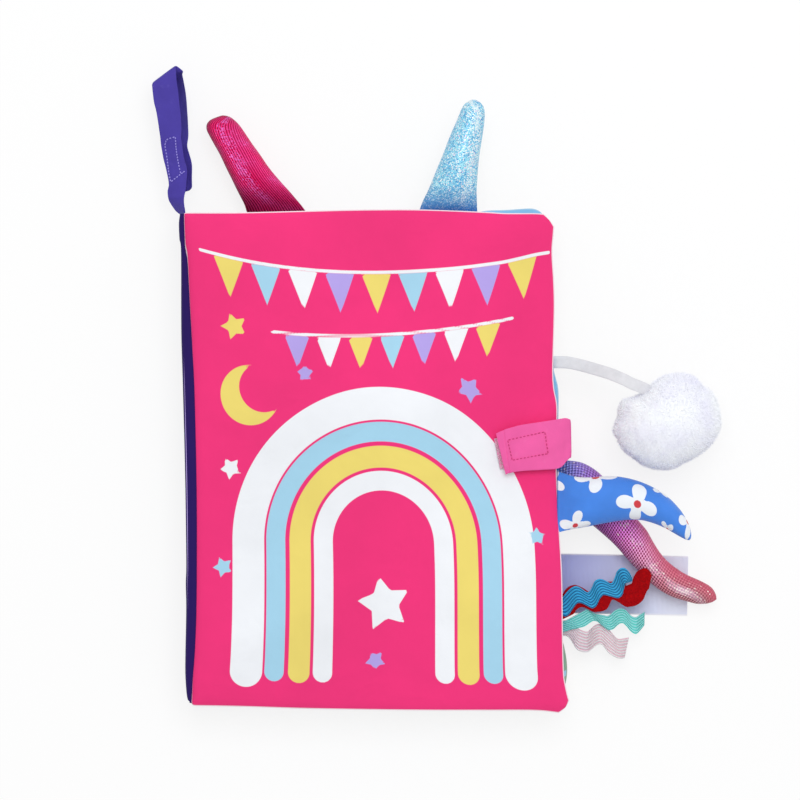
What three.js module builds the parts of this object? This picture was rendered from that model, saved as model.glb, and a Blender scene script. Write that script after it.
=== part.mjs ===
// Crinkle cloth book for a baby: six padded cloth boards that turn on a cloth spine, with stuffed
// horns and tails, a pompom on a ribbon, wavy trims, a hang strap and a closing strap.
// Millimetres. The closed book lies on its back cover: +Z is up through the front cover, +X runs
// from the spine to the fore edge, and +Y runs to the top edge. The origin is the middle of the
// back cover's flat outer face.

import * as THREE from 'three';

// Boards: two covers and four leaves, each two cloth panels over a crinkle film and wadding.
const bookHeight = 230;
const foreEdgeReach = 86.2;
const spineReach = 90.8;
const boardThickness = 4.2;
const boardGap = 0.4;
const leafCount = 4;
const cornerRadius = 6;
const crownCornerRadius = 1.5;
const seamWidth = 3.2;
const seamThickness = 0.8;
const seamSlit = 0.1;
const crownRun = 4.8;
const hingeFlap = 8;
const panelCloth = 0.6;
const filmThickness = 0.3;
const innerClearance = 0.15;
const cornerSteps = 4;

// Spine: an outer panel and a lining that turn as one flat band.
const spineThickness = 2;
const spineSlit = 0.1;
const spineEndClearance = 0.3;
const hingeGap = 0.5;
const seamClearance = 0.4;

// Stuffed limbs: a sewn cloth shell over a soft filling.
const limbCloth = 0.4;
const limbSlit = 0.2;
const limbClearance = 0.3;
const limbSides = 12;

const ribbedHornReach = 45.5;
const ribbedHornRootWidth = 27.2;
const ribbedHornThickness = 21;
const ribbedHornPlace = -44.4;

const glitterHornReach = 51;
const glitterHornRootWidth = 27.6;
const glitterHornThickness = 20;
const glitterHornPlace = 36.5;

const flowerTailReach = 60.5;
const flowerTailRootWidth = 29.4;
const flowerTailThickness = 17;
const flowerTailPlace = -20.9;
const flowerTailRise = 0;

const scaleTailReach = 71.2;
const scaleTailRootWidth = 25;
const scaleTailThickness = 14.4;
const scaleTailPlace = -15.5;
const scaleTailDrop = 2.6;

// Pompom and its ribbon. The ribbon's route is a list of places chosen by hand.
const pompomLength = 52.6;
const pompomWidth = 46.4;
const pompomHeight = 46;
const pompomPlace = new THREE.Vector2(137.4, 15.6);
const pompomColumns = 20;
const pompomRows = 12;
const ribbonWidth = 5.7;
const ribbonThickness = 1.2;
const ribbonSteps = 12;
const ribbonRoute = [
  [86.8, 44.6, 20.5],
  [92, 44.3, 20.1],
  [98, 42.9, 21],
  [104.5, 40.9, 24.2],
  [111, 38.7, 28],
  [116.9, 36.1, 30.6],
  [121.1, 33.6, 30.7],
];

// Trims sewn into the fore edge, each at its rise from the bottom edge.
const trimThickness = 1;
const trimLayer = 1.3;
const trimDroopReach = 40;
const trimStepsPerWave = 10;
const upperTrimDroop = 1.2;

const blueTrimRise = 44.9;
const blueTrimLength = 32;
const blueTrimWidth = 8;
const blueTrimWave = 11.6;
const blueTrimSway = 2.4;
const blueTrimSlope = 0.36;
const blueTrimPhase = -0.6;

const feltWaveRise = 47;
const feltWaveLength = 40;
const feltWaveWidth = 9;
const feltWavePitch = 17;
const feltWaveSway = 2.6;
const feltWaveSlope = 0.22;
const feltWavePhase = -1.2;

const mintTrimRise = 38.1;
const mintTrimLength = 38;
const mintTrimWidth = 7.2;
const mintTrimWave = 14.2;
const mintTrimSway = 2.4;
const mintTrimDroop = 6;
const mintTrimSlope = -0.04;
const mintTrimPhase = 0.4;

const pinkTrimRise = 32;
const pinkTrimLength = 31;
const pinkTrimWidth = 8.6;
const pinkTrimWave = 15.4;
const pinkTrimSway = 3;
const pinkTrimDroop = 8;
const pinkTrimSlope = -0.19;
const pinkTrimPhase = 1.2;

const labelReach = 59;
const labelWidth = 28;
const labelThickness = 0.5;
const labelRise = 54.7;
const labelLift = 0.1;
const labelSlope = 7;

// Straps.
const hangWidth = 11.7;
const hangThickness = 1.1;
const hangReach = 70;
const hangReturn = 59;
const hangLean = 7.9;
const hangTwist = 14;
const hangLoopHeight = 7;
const hangRootHeight = 13.6;
const hangPatchStart = 15;
const hangPatchLength = 20;
const hangPatchWidth = 8.4;
const hangSteps = 16;

const closureWidth = 20;
const closureThickness = 1.2;
const closureReach = 32.5;
const closurePlace = 8.4;
const closureTilt = 0.188;
const closureStandOff = 4.6;
const closureFoldRadius = 2.2;
const closureFoldSteps = 4;
const closurePatchLength = 19;
const closurePatchWidth = 15;
const closurePatchOverlap = 2.4;
const patchThickness = 1;
const patchClearance = 0.3;

// Shares that give the swelling and tapering outlines: along, sideways, width and thickness.
const ribbedHornShares = [
  [0, 0, 1, 0], [0.07, -0.02, 0.95, 0.24], [0.18, -0.08, 0.85, 0.64], [0.3, -0.15, 0.77, 0.94],
  [0.45, -0.24, 0.7, 1], [0.62, -0.35, 0.64, 0.92], [0.8, -0.46, 0.57, 0.78],
  [0.92, -0.54, 0.48, 0.62], [0.98, -0.575, 0.32, 0.4], [1, -0.587, 0.1, 0.12],
];
const glitterHornShares = [
  [0, 0, 1, 0], [0.07, 0.01, 0.94, 0.26], [0.17, 0.035, 0.85, 0.66], [0.28, 0.06, 0.78, 0.92],
  [0.42, 0.09, 0.7, 0.96], [0.6, 0.14, 0.6, 0.82], [0.8, 0.19, 0.49, 0.66],
  [0.92, 0.22, 0.39, 0.52], [0.98, 0.232, 0.26, 0.34], [1, 0.235, 0.08, 0.1],
];
const flowerTailShares = [
  [0, 0, 1, 0], [0.05, 0, 0.95, 0.3], [0.13, 0, 0.88, 0.74], [0.23, 0.002, 0.83, 0.96],
  [0.34, 0.004, 0.79, 1], [0.52, 0.008, 0.68, 1], [0.7, -0.03, 0.54, 0.84],
  [0.87, -0.135, 0.39, 0.6], [0.97, -0.245, 0.24, 0.36], [1, -0.305, 0.08, 0.12],
];
const scaleTailShares = [
  [0, 0, 1, 0], [0.045, -0.006, 0.95, 0.34], [0.1, -0.018, 0.91, 0.72], [0.182, -0.058, 0.84, 0.94],
  [0.281, -0.143, 0.8, 1], [0.366, -0.234, 0.77, 1], [0.451, -0.332, 0.7, 0.97],
  [0.536, -0.438, 0.62, 0.9], [0.621, -0.534, 0.58, 0.88], [0.712, -0.606, 0.6, 0.88],
  [0.843, -0.673, 0.62, 0.83], [0.94, -0.721, 0.42, 0.55], [1, -0.742, 0.12, 0.17],
];
const crownShares = [[0.45, 0.72], [1, 1]];
const rootBendShare = 0.35;

// Places worked out from the sizes above.
const boardPitch = boardThickness + boardGap;
const boardCount = leafCount + 2;
const stackHeight = boardCount * boardPitch - boardGap;
const topEdge = bookHeight / 2;
const bottomEdge = -bookHeight / 2;
const spineMiddle = -spineReach + spineThickness / 2;
const boardLeft = spineMiddle + spineThickness / 2 + hingeGap;
const seamStart = foreEdgeReach + seamClearance;
const topSeamStart = topEdge + seamClearance;
const boardMiddle = (index) => boardThickness / 2 + index * boardPitch;
const backCover = 0;
const frontCover = boardCount - 1;

// Cloth, film, filling and fibre materials.
const material = (color, roughness, metalness = 0) =>
  new THREE.MeshStandardMaterial({ color, roughness, metalness });
const cottonPink = material('#f2307c', 0.85);
const cottonBlue = material('#8fc8ee', 0.85);
const cottonMint = material('#8fd8c4', 0.85);
const cottonLilac = material('#b79be0', 0.85);
const cottonYellow = material('#f2dd6e', 0.85);
const cottonIndigo = material('#2d1666', 0.85);
const cottonFlower = material('#3d85e8', 0.8);
const strapPurple = material('#5446a8', 0.6);
const strapPink = material('#f857a6', 0.75);
const velcroPurple = material('#4a3c96', 0.95);
const velcroPink = material('#f3c0d6', 0.95);
const foilMagenta = material('#d81e62', 0.35, 0.6);
const foilBlue = material('#4fb4e0', 0.35, 0.5);
const foilPurple = material('#c4489c', 0.35, 0.6);
const filmClear = material('#d9dde2', 0.3);
const fillingWhite = material('#f2f2f0', 0.95);
const pileWhite = material('#f6f5fb', 0.95);
const satinWhite = material('#dcdde6', 0.5);
const trimBlue = material('#2fa8dc', 0.8);
const trimMint = material('#5fe0cc', 0.8);
const trimPink = material('#f6b8d0', 0.8);
const feltRed = material('#a8101a', 0.95);
const labelSatin = material('#d4cdea', 0.45);

const book = new THREE.Group();

function addPiece(name, geometry, finish) {
  const piece = new THREE.Mesh(geometry, finish);
  piece.name = name;
  book.add(piece);
  return piece;
}

// A closed solid through rings of points, each end closed by a fan to the ring's centre.
function loftSolid(rings) {
  const sides = rings[0].length;
  const points = rings.flat();
  const centre = (ring) =>
    ring.reduce((sum, point) => sum.add(point), new THREE.Vector3()).divideScalar(sides);
  points.push(centre(rings[0]), centre(rings[rings.length - 1]));
  const faces = [];
  for (let row = 0; row + 1 < rings.length; row += 1) {
    for (let side = 0; side < sides; side += 1) {
      const a = row * sides + side;
      const b = row * sides + (side + 1) % sides;
      faces.push([a, b, b + sides], [a, b + sides, a + sides]);
    }
  }
  const lastRow = (rings.length - 1) * sides;
  for (let side = 0; side < sides; side += 1) {
    const next = (side + 1) % sides;
    faces.push([points.length - 2, next, side]);
    faces.push([points.length - 1, lastRow + side, lastRow + next]);
  }
  const volume = faces.reduce((sum, [a, b, c]) =>
    sum + points[a].dot(new THREE.Vector3().crossVectors(points[b], points[c])), 0);
  const outward = volume < 0 ? faces.map(([a, b, c]) => [a, c, b]) : faces;
  const geometry = new THREE.BufferGeometry().setFromPoints(points);
  geometry.setIndex(outward.flat());
  geometry.computeVertexNormals();
  return geometry;
}

// One level ring of a board: its outline drawn in from the sewn edge, with round corners.
function boardRing(inset, height) {
  const flap = inset > 0 ? hingeFlap - seamWidth : 0;
  const left = boardLeft + flap + inset;
  const right = foreEdgeReach - inset;
  const top = topEdge - inset;
  const radius = Math.max(cornerRadius - inset, crownCornerRadius);
  const ring = [];
  const corners = [[right, top], [left, top], [left, -top], [right, -top]];
  corners.forEach(([x, y], corner) => {
    const centreX = x - Math.sign(x) * radius;
    const centreY = y - Math.sign(y) * radius;
    for (let step = 0; step <= cornerSteps; step += 1) {
      const angle = (corner + step / cornerSteps) * Math.PI / 2;
      ring.push(new THREE.Vector3(
        centreX + radius * Math.cos(angle), centreY + radius * Math.sin(angle), height));
    }
  });
  return ring;
}

// One cloth panel of a board: a shallow tray whose sewn edge meets the other panel's.
function panelTray(side) {
  const half = boardThickness / 2;
  const seamHalf = seamThickness / 2;
  const fullInset = seamWidth + crownRun;
  const crown = crownShares.map(([run, rise]) =>
    boardRing(seamWidth + run * crownRun, side * (seamHalf + rise * (half - seamHalf))));
  return loftSolid([
    ...crown.reverse(),
    boardRing(seamWidth, side * seamHalf),
    boardRing(0, side * seamHalf),
    boardRing(0, side * seamSlit / 2),
    boardRing(seamWidth + panelCloth, side * seamSlit / 2),
    boardRing(fullInset + panelCloth, side * (half - panelCloth)),
  ]);
}

function boardSlab(low, high) {
  const inset = seamWidth + crownRun + 2 * panelCloth;
  return loftSolid([boardRing(inset, low), boardRing(inset, high)]);
}

function addBoard(name, lowerPanel, upperPanel, index, lowerCloth, upperCloth) {
  const cavityTop = boardThickness / 2 - panelCloth - innerClearance;
  const filmLow = cavityTop - filmThickness;
  const pieces = [
    addPiece(`${name}_${upperPanel}`, panelTray(1), upperCloth),
    addPiece(`${name}_${lowerPanel}`, panelTray(-1), lowerCloth),
    addPiece(`${name}_crinkle_film`, boardSlab(filmLow, cavityTop), filmClear),
    addPiece(`${name}_wadding`, boardSlab(-cavityTop, filmLow - innerClearance), fillingWhite),
  ];
  pieces.forEach((piece) => { piece.position.z = boardMiddle(index); });
}

const leafCloths = [
  [cottonLilac, cottonYellow], [cottonYellow, cottonMint],
  [cottonMint, cottonLilac], [cottonLilac, cottonBlue],
];
addBoard('back_cover', 'outer_panel', 'inner_panel', backCover, cottonPink, cottonLilac);
for (let leaf = 1; leaf <= leafCount; leaf += 1) {
  const [lower, upper] = leafCloths[(leafCount - leaf) % leafCloths.length];
  addBoard(`leaf_${leaf}`, 'back_panel', 'front_panel', frontCover - leaf, lower, upper);
}
addBoard('front_cover', 'inner_panel', 'outer_panel', frontCover, cottonBlue, cottonPink);

// Spine: two flat bands side by side, standing the height of the stack.
function spineBand(thickness) {
  return new THREE.BoxGeometry(thickness, bookHeight, stackHeight - 2 * spineEndClearance);
}
const spineBandThickness = (spineThickness - spineSlit) / 2;
const spineBandOffset = (spineBandThickness + spineSlit) / 2;
const spineOuter = addPiece('spine_outer_panel', spineBand(spineBandThickness), cottonIndigo);
spineOuter.position.set(spineMiddle - spineBandOffset, 0, stackHeight / 2);
const spineLining = addPiece('spine_lining', spineBand(spineBandThickness), cottonLilac);
spineLining.position.set(spineMiddle + spineBandOffset, 0, stackHeight / 2);

// The rings of a stuffed limb, drawn in from its cloth face by an inset.
// Each ring turns from the seam's line, where the root is pinched flat, to lie across the path.
function limbRings(limb, inset) {
  const centres = limb.shares.map(([along, sideways]) => limb.root.clone()
    .addScaledVector(limb.forward, along * limb.reach)
    .addScaledVector(limb.sideways, sideways * limb.reach)
    .add(new THREE.Vector3(0, 0, limb.rise * THREE.MathUtils.smoothstep(along, 0, rootBendShare))));
  const rootHalf = limbCloth + limbSlit / 2;
  return limb.shares.map(([, , width, thickness], index) => {
    const before = centres[Math.max(index - 1, 0)];
    const after = centres[Math.min(index + 1, centres.length - 1)];
    const bend = THREE.MathUtils.smoothstep(limb.shares[index][0], 0, rootBendShare);
    const heading = limb.forward.clone().lerp(after.clone().sub(before).setZ(0).normalize(), bend);
    heading.normalize();
    const across = new THREE.Vector3(heading.y, -heading.x, 0);
    const halfWidth = Math.max(width * limb.rootWidth / 2 - inset, limbSlit);
    const halfHeight = Math.max(rootHalf, thickness * limb.thickness / 2) - inset;
    const ring = [];
    for (let side = 0; side < limbSides; side += 1) {
      const angle = side / limbSides * 2 * Math.PI;
      ring.push(centres[index].clone()
        .addScaledVector(across, halfWidth * Math.cos(angle))
        .add(new THREE.Vector3(0, 0, halfHeight * Math.sin(angle))));
    }
    return ring;
  });
}

// A shell is open at its pinched root, where the filling is put in before the seam is sewn.
function addLimb(name, limb, finish) {
  const outer = limbRings(limb, 0);
  const inner = limbRings(limb, limbCloth).slice(0, -1).reverse();
  addPiece(`${name}_shell`, loftSolid([...inner, ...outer]), finish);
  const filling = limbRings(limb, limbCloth + limbClearance).slice(1, -2).reverse();
  addPiece(`${name}_filling`, loftSolid(filling), fillingWhite);
}

const outwards = new THREE.Vector3(1, 0, 0);
const upwards = new THREE.Vector3(0, 1, 0);
addLimb('ribbed_horn', {
  root: new THREE.Vector3(ribbedHornPlace, topSeamStart, boardMiddle(frontCover - 3)),
  forward: upwards,
  sideways: outwards,
  reach: ribbedHornReach,
  rootWidth: ribbedHornRootWidth,
  thickness: ribbedHornThickness,
  rise: 0,
  shares: ribbedHornShares,
}, foilMagenta);
addLimb('glitter_horn', {
  root: new THREE.Vector3(glitterHornPlace, topSeamStart, boardMiddle(frontCover - 1)),
  forward: upwards,
  sideways: outwards,
  reach: glitterHornReach,
  rootWidth: glitterHornRootWidth,
  thickness: glitterHornThickness,
  rise: 0,
  shares: glitterHornShares,
}, foilBlue);
addLimb('flower_tail', {
  root: new THREE.Vector3(seamStart, flowerTailPlace, boardMiddle(frontCover)),
  forward: outwards,
  sideways: upwards,
  reach: flowerTailReach,
  rootWidth: flowerTailRootWidth,
  thickness: flowerTailThickness,
  rise: flowerTailRise,
  shares: flowerTailShares,
}, cottonFlower);
addLimb('scale_tail', {
  root: new THREE.Vector3(seamStart, scaleTailPlace, boardMiddle(frontCover - 3)),
  forward: outwards,
  sideways: upwards,
  reach: scaleTailReach,
  rootWidth: scaleTailRootWidth,
  thickness: scaleTailThickness,
  rise: -scaleTailDrop,
  shares: scaleTailShares,
}, foilPurple);

// Pompom: a soft round pile that lies beside the book, flat where it rests, and its ribbon.
const pompomBall = new THREE.SphereGeometry(0.5, pompomColumns, pompomRows);
pompomBall.scale(pompomLength, pompomWidth, pompomHeight);
addPiece('pompom', pompomBall, pileWhite)
  .position.set(pompomPlace.x, pompomPlace.y, pompomHeight / 2);

const ribbonSection = new THREE.Shape([
  [-0.5, -0.25], [-0.25, -0.5], [0.25, -0.5], [0.5, -0.25],
  [0.5, 0.25], [0.25, 0.5], [-0.25, 0.5], [-0.5, 0.25],
].map(([x, y]) => new THREE.Vector2(x * ribbonThickness, y * ribbonWidth)));
const ribbonCurve = new THREE.CatmullRomCurve3(ribbonRoute.map((place) => new THREE.Vector3(...place)));
addPiece('pompom_ribbon', new THREE.ExtrudeGeometry(ribbonSection, {
  steps: ribbonSteps,
  extrudePath: ribbonCurve,
}), satinWhite);

// A flat band along a line of places, with its half width and its thickness at each.
function bandSolid(stations, thickness) {
  return loftSolid(stations.map(({ place, halfWidth }, index) => {
    const before = stations[Math.max(index - 1, 0)].place;
    const after = stations[Math.min(index + 1, stations.length - 1)].place;
    const heading = after.clone().sub(before);
    const lift = heading.cross(halfWidth).setLength(thickness / 2);
    return [
      place.clone().add(halfWidth).add(lift), place.clone().sub(halfWidth).add(lift),
      place.clone().sub(halfWidth).sub(lift), place.clone().add(halfWidth).sub(lift),
    ];
  }));
}

// A wavy trim sewn into the fore edge at one end. It runs out at a slope and droops to its end.
function addTrim(name, trim, finish) {
  const steps = Math.round(trim.length / trim.wave * trimStepsPerWave);
  const heading = new THREE.Vector3(Math.cos(trim.slope), Math.sin(trim.slope), 0);
  const across = new THREE.Vector3(-heading.y, heading.x, 0);
  const stations = [];
  for (let step = 0; step <= steps; step += 1) {
    const share = step / steps;
    const sway = trim.sway * Math.sin(trim.phase + 2 * Math.PI * share * trim.length / trim.wave);
    const place = new THREE.Vector3(seamStart + trimThickness, trim.place, trim.height)
      .addScaledVector(heading, share * trim.length)
      .addScaledVector(across, share > 0 ? sway : 0);
    place.z -= trim.droop * (share * trim.length / trimDroopReach) ** 2;
    stations.push({ place, halfWidth: across.clone().multiplyScalar(trim.width / 2) });
  }
  stations[0].place.x -= trimThickness;
  stations[0].place.y += trim.sway * Math.sin(trim.phase);
  stations[0].halfWidth.set(0, trim.width / 2, 0);
  addPiece(name, bandSolid(stations, trimThickness), finish);
}

const trimLeafHeight = boardMiddle(frontCover - 2);
addTrim('blue_rickrack', {
  place: bottomEdge + blueTrimRise, height: trimLeafHeight + trimLayer, length: blueTrimLength,
  width: blueTrimWidth, wave: blueTrimWave, sway: blueTrimSway, droop: upperTrimDroop,
  slope: blueTrimSlope, phase: blueTrimPhase,
}, trimBlue);
addTrim('red_felt_wave', {
  place: bottomEdge + feltWaveRise, height: trimLeafHeight, length: feltWaveLength,
  width: feltWaveWidth, wave: feltWavePitch, sway: feltWaveSway, droop: upperTrimDroop,
  slope: feltWaveSlope, phase: feltWavePhase,
}, feltRed);
addTrim('mint_rickrack', {
  place: bottomEdge + mintTrimRise, height: trimLeafHeight - trimLayer, length: mintTrimLength,
  width: mintTrimWidth, wave: mintTrimWave, sway: mintTrimSway, droop: mintTrimDroop,
  slope: mintTrimSlope, phase: mintTrimPhase,
}, trimMint);
addTrim('pink_rickrack', {
  place: bottomEdge + pinkTrimRise, height: trimLeafHeight - 2 * trimLayer, length: pinkTrimLength,
  width: pinkTrimWidth, wave: pinkTrimWave, sway: pinkTrimSway, droop: pinkTrimDroop,
  slope: pinkTrimSlope, phase: pinkTrimPhase,
}, trimPink);

// Blank satin label from the back cover's seam, lying flat beside the book.
const labelHeight = labelLift + labelThickness / 2;
const labelStations = [
  [0, boardMiddle(backCover)], [labelSlope, labelHeight], [labelReach, labelHeight],
].map(([run, height]) => ({
  place: new THREE.Vector3(seamStart + run, bottomEdge + labelRise, height),
  halfWidth: new THREE.Vector3(0, labelWidth / 2, 0),
}));
addPiece('side_label', bandSolid(labelStations, labelThickness), labelSatin);

// Hang strap: sewn into the spine's top, turned a quarter, folded over at its top and pressed back
// on itself by a hook patch and a loop patch. Its path is a line up the front and down the back.
function hangPlace(height, offset) {
  const turn = (1 - THREE.MathUtils.smoothstep(height, 0, hangTwist)) * Math.PI / 2;
  const normal = new THREE.Vector3(-Math.sin(turn), 0, Math.cos(turn));
  const place = new THREE.Vector3(
    spineMiddle - hangLean * height / hangReach, topSeamStart + height, hangRootHeight);
  return {
    place: place.addScaledVector(normal, offset),
    halfWidth: new THREE.Vector3(Math.cos(turn), 0, Math.sin(turn)).multiplyScalar(hangWidth / 2),
  };
}
const hangPatchHalf = patchThickness + patchClearance * 1.5 + hangThickness / 2;
const hangOffset = (height) => {
  const atPatch = THREE.MathUtils.smoothstep(height, 0, hangPatchStart) * hangPatchHalf;
  const patchEnd = hangPatchStart + hangPatchLength;
  return atPatch + (hangLoopHeight - hangPatchHalf)
    * THREE.MathUtils.smoothstep(height, patchEnd, (patchEnd + hangReach) / 2);
};
const hangFoldStart = hangReach - hangLoopHeight;
const hangStations = [];
for (let step = 0; step <= hangSteps; step += 1) {
  const height = hangFoldStart * step / hangSteps;
  hangStations.push(hangPlace(height, hangOffset(height)));
}
for (let step = 1; step < closureFoldSteps; step += 1) {
  const angle = step / closureFoldSteps * Math.PI;
  hangStations.push(hangPlace(
    hangFoldStart + hangLoopHeight * Math.sin(angle), hangLoopHeight * Math.cos(angle)));
}
const hangEndHeight = hangReach - hangReturn;
for (let step = hangSteps; step >= 0; step -= 1) {
  const height = hangEndHeight + (hangFoldStart - hangEndHeight) * step / hangSteps;
  hangStations.push(hangPlace(height, -hangOffset(height)));
}
addPiece('hang_strap', bandSolid(hangStations, hangThickness), strapPurple);

function addHangPatch(name, side) {
  const offset = side * (patchThickness + patchClearance) / 2;
  const stations = [0, 1].map((share) => {
    const station = hangPlace(hangPatchStart + share * hangPatchLength, offset);
    station.halfWidth.setLength(hangPatchWidth / 2);
    return station;
  });
  addPiece(name, bandSolid(stations, patchThickness), velcroPurple);
}
addHangPatch('hang_hook_patch', 1);
addHangPatch('hang_loop_patch', -1);

// Closing strap: sewn into the back cover's fore edge, up past the leaves, and over the front cover.
const coverLoopHeight = stackHeight + patchClearance + patchThickness / 2;
const hookPatchHeight = coverLoopHeight + patchThickness + patchClearance;
const strapTopHeight = hookPatchHeight + (patchThickness + closureThickness) / 2 + patchClearance;
const riserPlace = seamStart + closureStandOff;
const closureHalfWidth = new THREE.Vector3(0, closureWidth / 2, 0);
const riserTop = strapTopHeight - closureFoldRadius - seamClearance;
addPiece('closing_strap_base', bandSolid([
  [seamStart, boardMiddle(backCover)],
  [riserPlace - closureFoldRadius, boardMiddle(backCover)],
  [riserPlace, boardMiddle(backCover) + closureFoldRadius],
  [riserPlace, riserTop],
].map(([x, z]) => ({
  place: new THREE.Vector3(x, closurePlace, z), halfWidth: closureHalfWidth,
})), closureThickness), strapPink);

// The tab and its patch lie in a group turned a little in plan, about the fold.
const closureTab = new THREE.Group();
closureTab.position.set(riserPlace, closurePlace, 0);
closureTab.rotation.z = closureTilt;
book.add(closureTab);
const tabStations = [];
for (let step = 0; step <= closureFoldSteps; step += 1) {
  const angle = step / closureFoldSteps * Math.PI / 2;
  tabStations.push([
    closureFoldRadius * (Math.cos(angle) - 1),
    strapTopHeight - closureFoldRadius * (1 - Math.sin(angle)),
  ]);
}
tabStations.push([-closureReach, strapTopHeight]);
closureTab.add(addPiece('closing_strap_tab', bandSolid(tabStations.map(([x, z]) => ({
  place: new THREE.Vector3(x, 0, z), halfWidth: closureHalfWidth,
})), closureThickness), strapPink));

const patchBox = new THREE.BoxGeometry(closurePatchLength, closurePatchWidth, patchThickness);
const hookPatch = addPiece('closing_hook_patch', patchBox, velcroPink);
hookPatch.position.set(closurePatchLength / 2 - closureReach + closurePatchOverlap, 0, hookPatchHeight);
closureTab.add(hookPatch);
const loopPatch = addPiece('closing_loop_patch', patchBox, velcroPink);
loopPatch.position.set(closurePatchLength / 2 - closureReach - closurePatchOverlap, 0, coverLoopHeight);
closureTab.add(loopPatch);

export default book;
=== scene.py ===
"""The looks of a crinkle cloth book that lies closed on a white table, seen from above.

X runs from the spine to the fore edge, Y to the top edge, and Z up through the front cover. Meshes
are worked out in millimetres and turned into metres as they are built. Shaders use metres.
"""

import bpy
import numpy as np
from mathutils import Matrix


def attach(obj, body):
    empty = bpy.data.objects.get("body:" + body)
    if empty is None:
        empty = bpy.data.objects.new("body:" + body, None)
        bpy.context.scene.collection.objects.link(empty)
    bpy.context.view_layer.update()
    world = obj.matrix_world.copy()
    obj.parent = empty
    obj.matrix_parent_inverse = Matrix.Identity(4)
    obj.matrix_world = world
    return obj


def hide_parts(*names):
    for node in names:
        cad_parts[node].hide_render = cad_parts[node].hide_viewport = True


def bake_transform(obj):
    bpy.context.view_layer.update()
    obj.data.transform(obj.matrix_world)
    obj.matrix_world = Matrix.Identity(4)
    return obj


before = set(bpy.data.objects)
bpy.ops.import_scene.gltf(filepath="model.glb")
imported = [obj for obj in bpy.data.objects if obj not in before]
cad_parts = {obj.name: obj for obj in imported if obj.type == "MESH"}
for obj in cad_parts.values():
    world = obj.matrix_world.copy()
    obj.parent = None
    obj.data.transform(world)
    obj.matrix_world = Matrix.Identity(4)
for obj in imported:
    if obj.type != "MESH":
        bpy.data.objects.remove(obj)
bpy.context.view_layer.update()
MM = 0.001
UP = np.array([0.0, 0.0, 1.0])
SHARP_DEGREES = 60


# Places, lines and unevenness


def unit(vectors):
    """Vectors brought to length one along their last axis."""
    return vectors / np.maximum(np.linalg.norm(vectors, axis=-1, keepdims=True), 1e-12)


def grid(*parts):
    """Points made of their coordinates, each spread out to the shape that all share."""
    return np.stack(np.broadcast_arrays(*parts), axis=-1)


def spread(vectors, amounts):
    """Each row's vector, times each of that row's amounts."""
    return vectors[:, None] * amounts[..., None]


def eased(value, low, high):
    """0 below low, 1 above high, and a smooth step between."""
    part = np.clip((value - low) / (high - low), 0, 1)
    return part * part * (3 - 2 * part)


def smooth(places, count):
    """A smooth line through places: a cubic between each two, whose slope at a place is half the
    step from the place before to the place after."""
    places = np.asarray(places, float)
    slopes = np.gradient(places, axis=0)
    run = np.linspace(0, len(places) - 1, count)
    before = np.minimum(run.astype(int), len(places) - 2)
    part = (run - before)[:, None]
    return ((2 * part**3 - 3 * part**2 + 1) * places[before]
            + (part**3 - 2 * part**2 + part) * slopes[before]
            + (3 * part**2 - 2 * part**3) * places[before + 1]
            + (part**3 - part**2) * slopes[before + 1])


def along_edge(table, place):
    """Where an edge lies at a place along it: a smooth line through a table of places."""
    line = smooth(table, 160)
    return np.interp(place, line[:, 0], line[:, 1])


def travelled(line):
    """How far each point of a line is from its start, along the line."""
    return np.concatenate([[0], np.cumsum(np.linalg.norm(np.diff(line, axis=0), axis=1))])


def edge_crowd(count):
    """Shares from 0 to 1 that lie closer together towards both ends."""
    even = np.linspace(0, 1, count)
    return even - 0.75 * np.sin(2 * np.pi * even) / (2 * np.pi)


def heading(level, turn, height):
    """Directions from their level part, the turn of that part, and their height."""
    return grid(level * np.cos(turn), level * np.sin(turn), height)


def ripples(x, y, seed, longest, shortest, count=9):
    """Unevenness between about -1 and 1: waves of lengths from longest to shortest, in directions
    and phases drawn at random, whose heights fall with the root of their length."""
    draw = np.random.default_rng(seed)
    lengths = np.geomspace(longest, shortest, count)
    turns = draw.uniform(0, 2 * np.pi, count)
    phases = draw.uniform(0, 2 * np.pi, count)
    heights = np.sqrt(lengths / longest)
    waves = [height * np.sin(2 * np.pi * (x * np.cos(turn) + y * np.sin(turn)) / length + phase)
             for length, turn, phase, height in zip(lengths, turns, phases, heights)]
    return sum(waves) / heights.sum()


# Meshes


def linked(name, data):
    """A new object in the scene that shows this data."""
    made = bpy.data.objects.new(name, data)
    bpy.context.collection.objects.link(made)
    return made


def build(name, points, faces, finish, marks=None):
    """A mesh object from points and lists of faces, with a mark of each kind for each point. The
    mark "cloth" is the point's place on the cloth. The sum of each face's corner product gives the
    volume, and the faces are turned round if it is negative, so that they point outwards."""
    fans = [(face[:, 0], face[:, k], face[:, k + 1])
            for face in faces for k in range(1, face.shape[1] - 1)]
    volume = sum(np.einsum("ij,ij->", points[a], np.cross(points[b], points[c]))
                 for a, b, c in fans)
    turned = [face[:, ::-1] if volume < 0 else face for face in faces]
    mesh = bpy.data.meshes.new(name)
    mesh.from_pydata((points * MM).tolist(), [], [row for face in turned for row in face.tolist()])
    corners = np.concatenate([face.ravel() for face in turned])
    for label, mark in (marks or {}).items():
        if label == "cloth":
            mesh.uv_layers.new(name=label).data.foreach_set("uv", (mark[corners] * MM).ravel())
        else:
            mesh.attributes.new(label, "FLOAT", "POINT").data.foreach_set("value", mark.ravel())
    mesh.shade_smooth()
    mesh.set_sharp_from_angle(angle=np.radians(SHARP_DEGREES))
    mesh.materials.append(finish)
    return linked(name, mesh)


def squares(index, after):
    """Faces between each two rows of points, from each point to the one after it."""
    return grid(index[:-1], after[:-1], after[1:], index[1:]).reshape(-1, 4)


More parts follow.
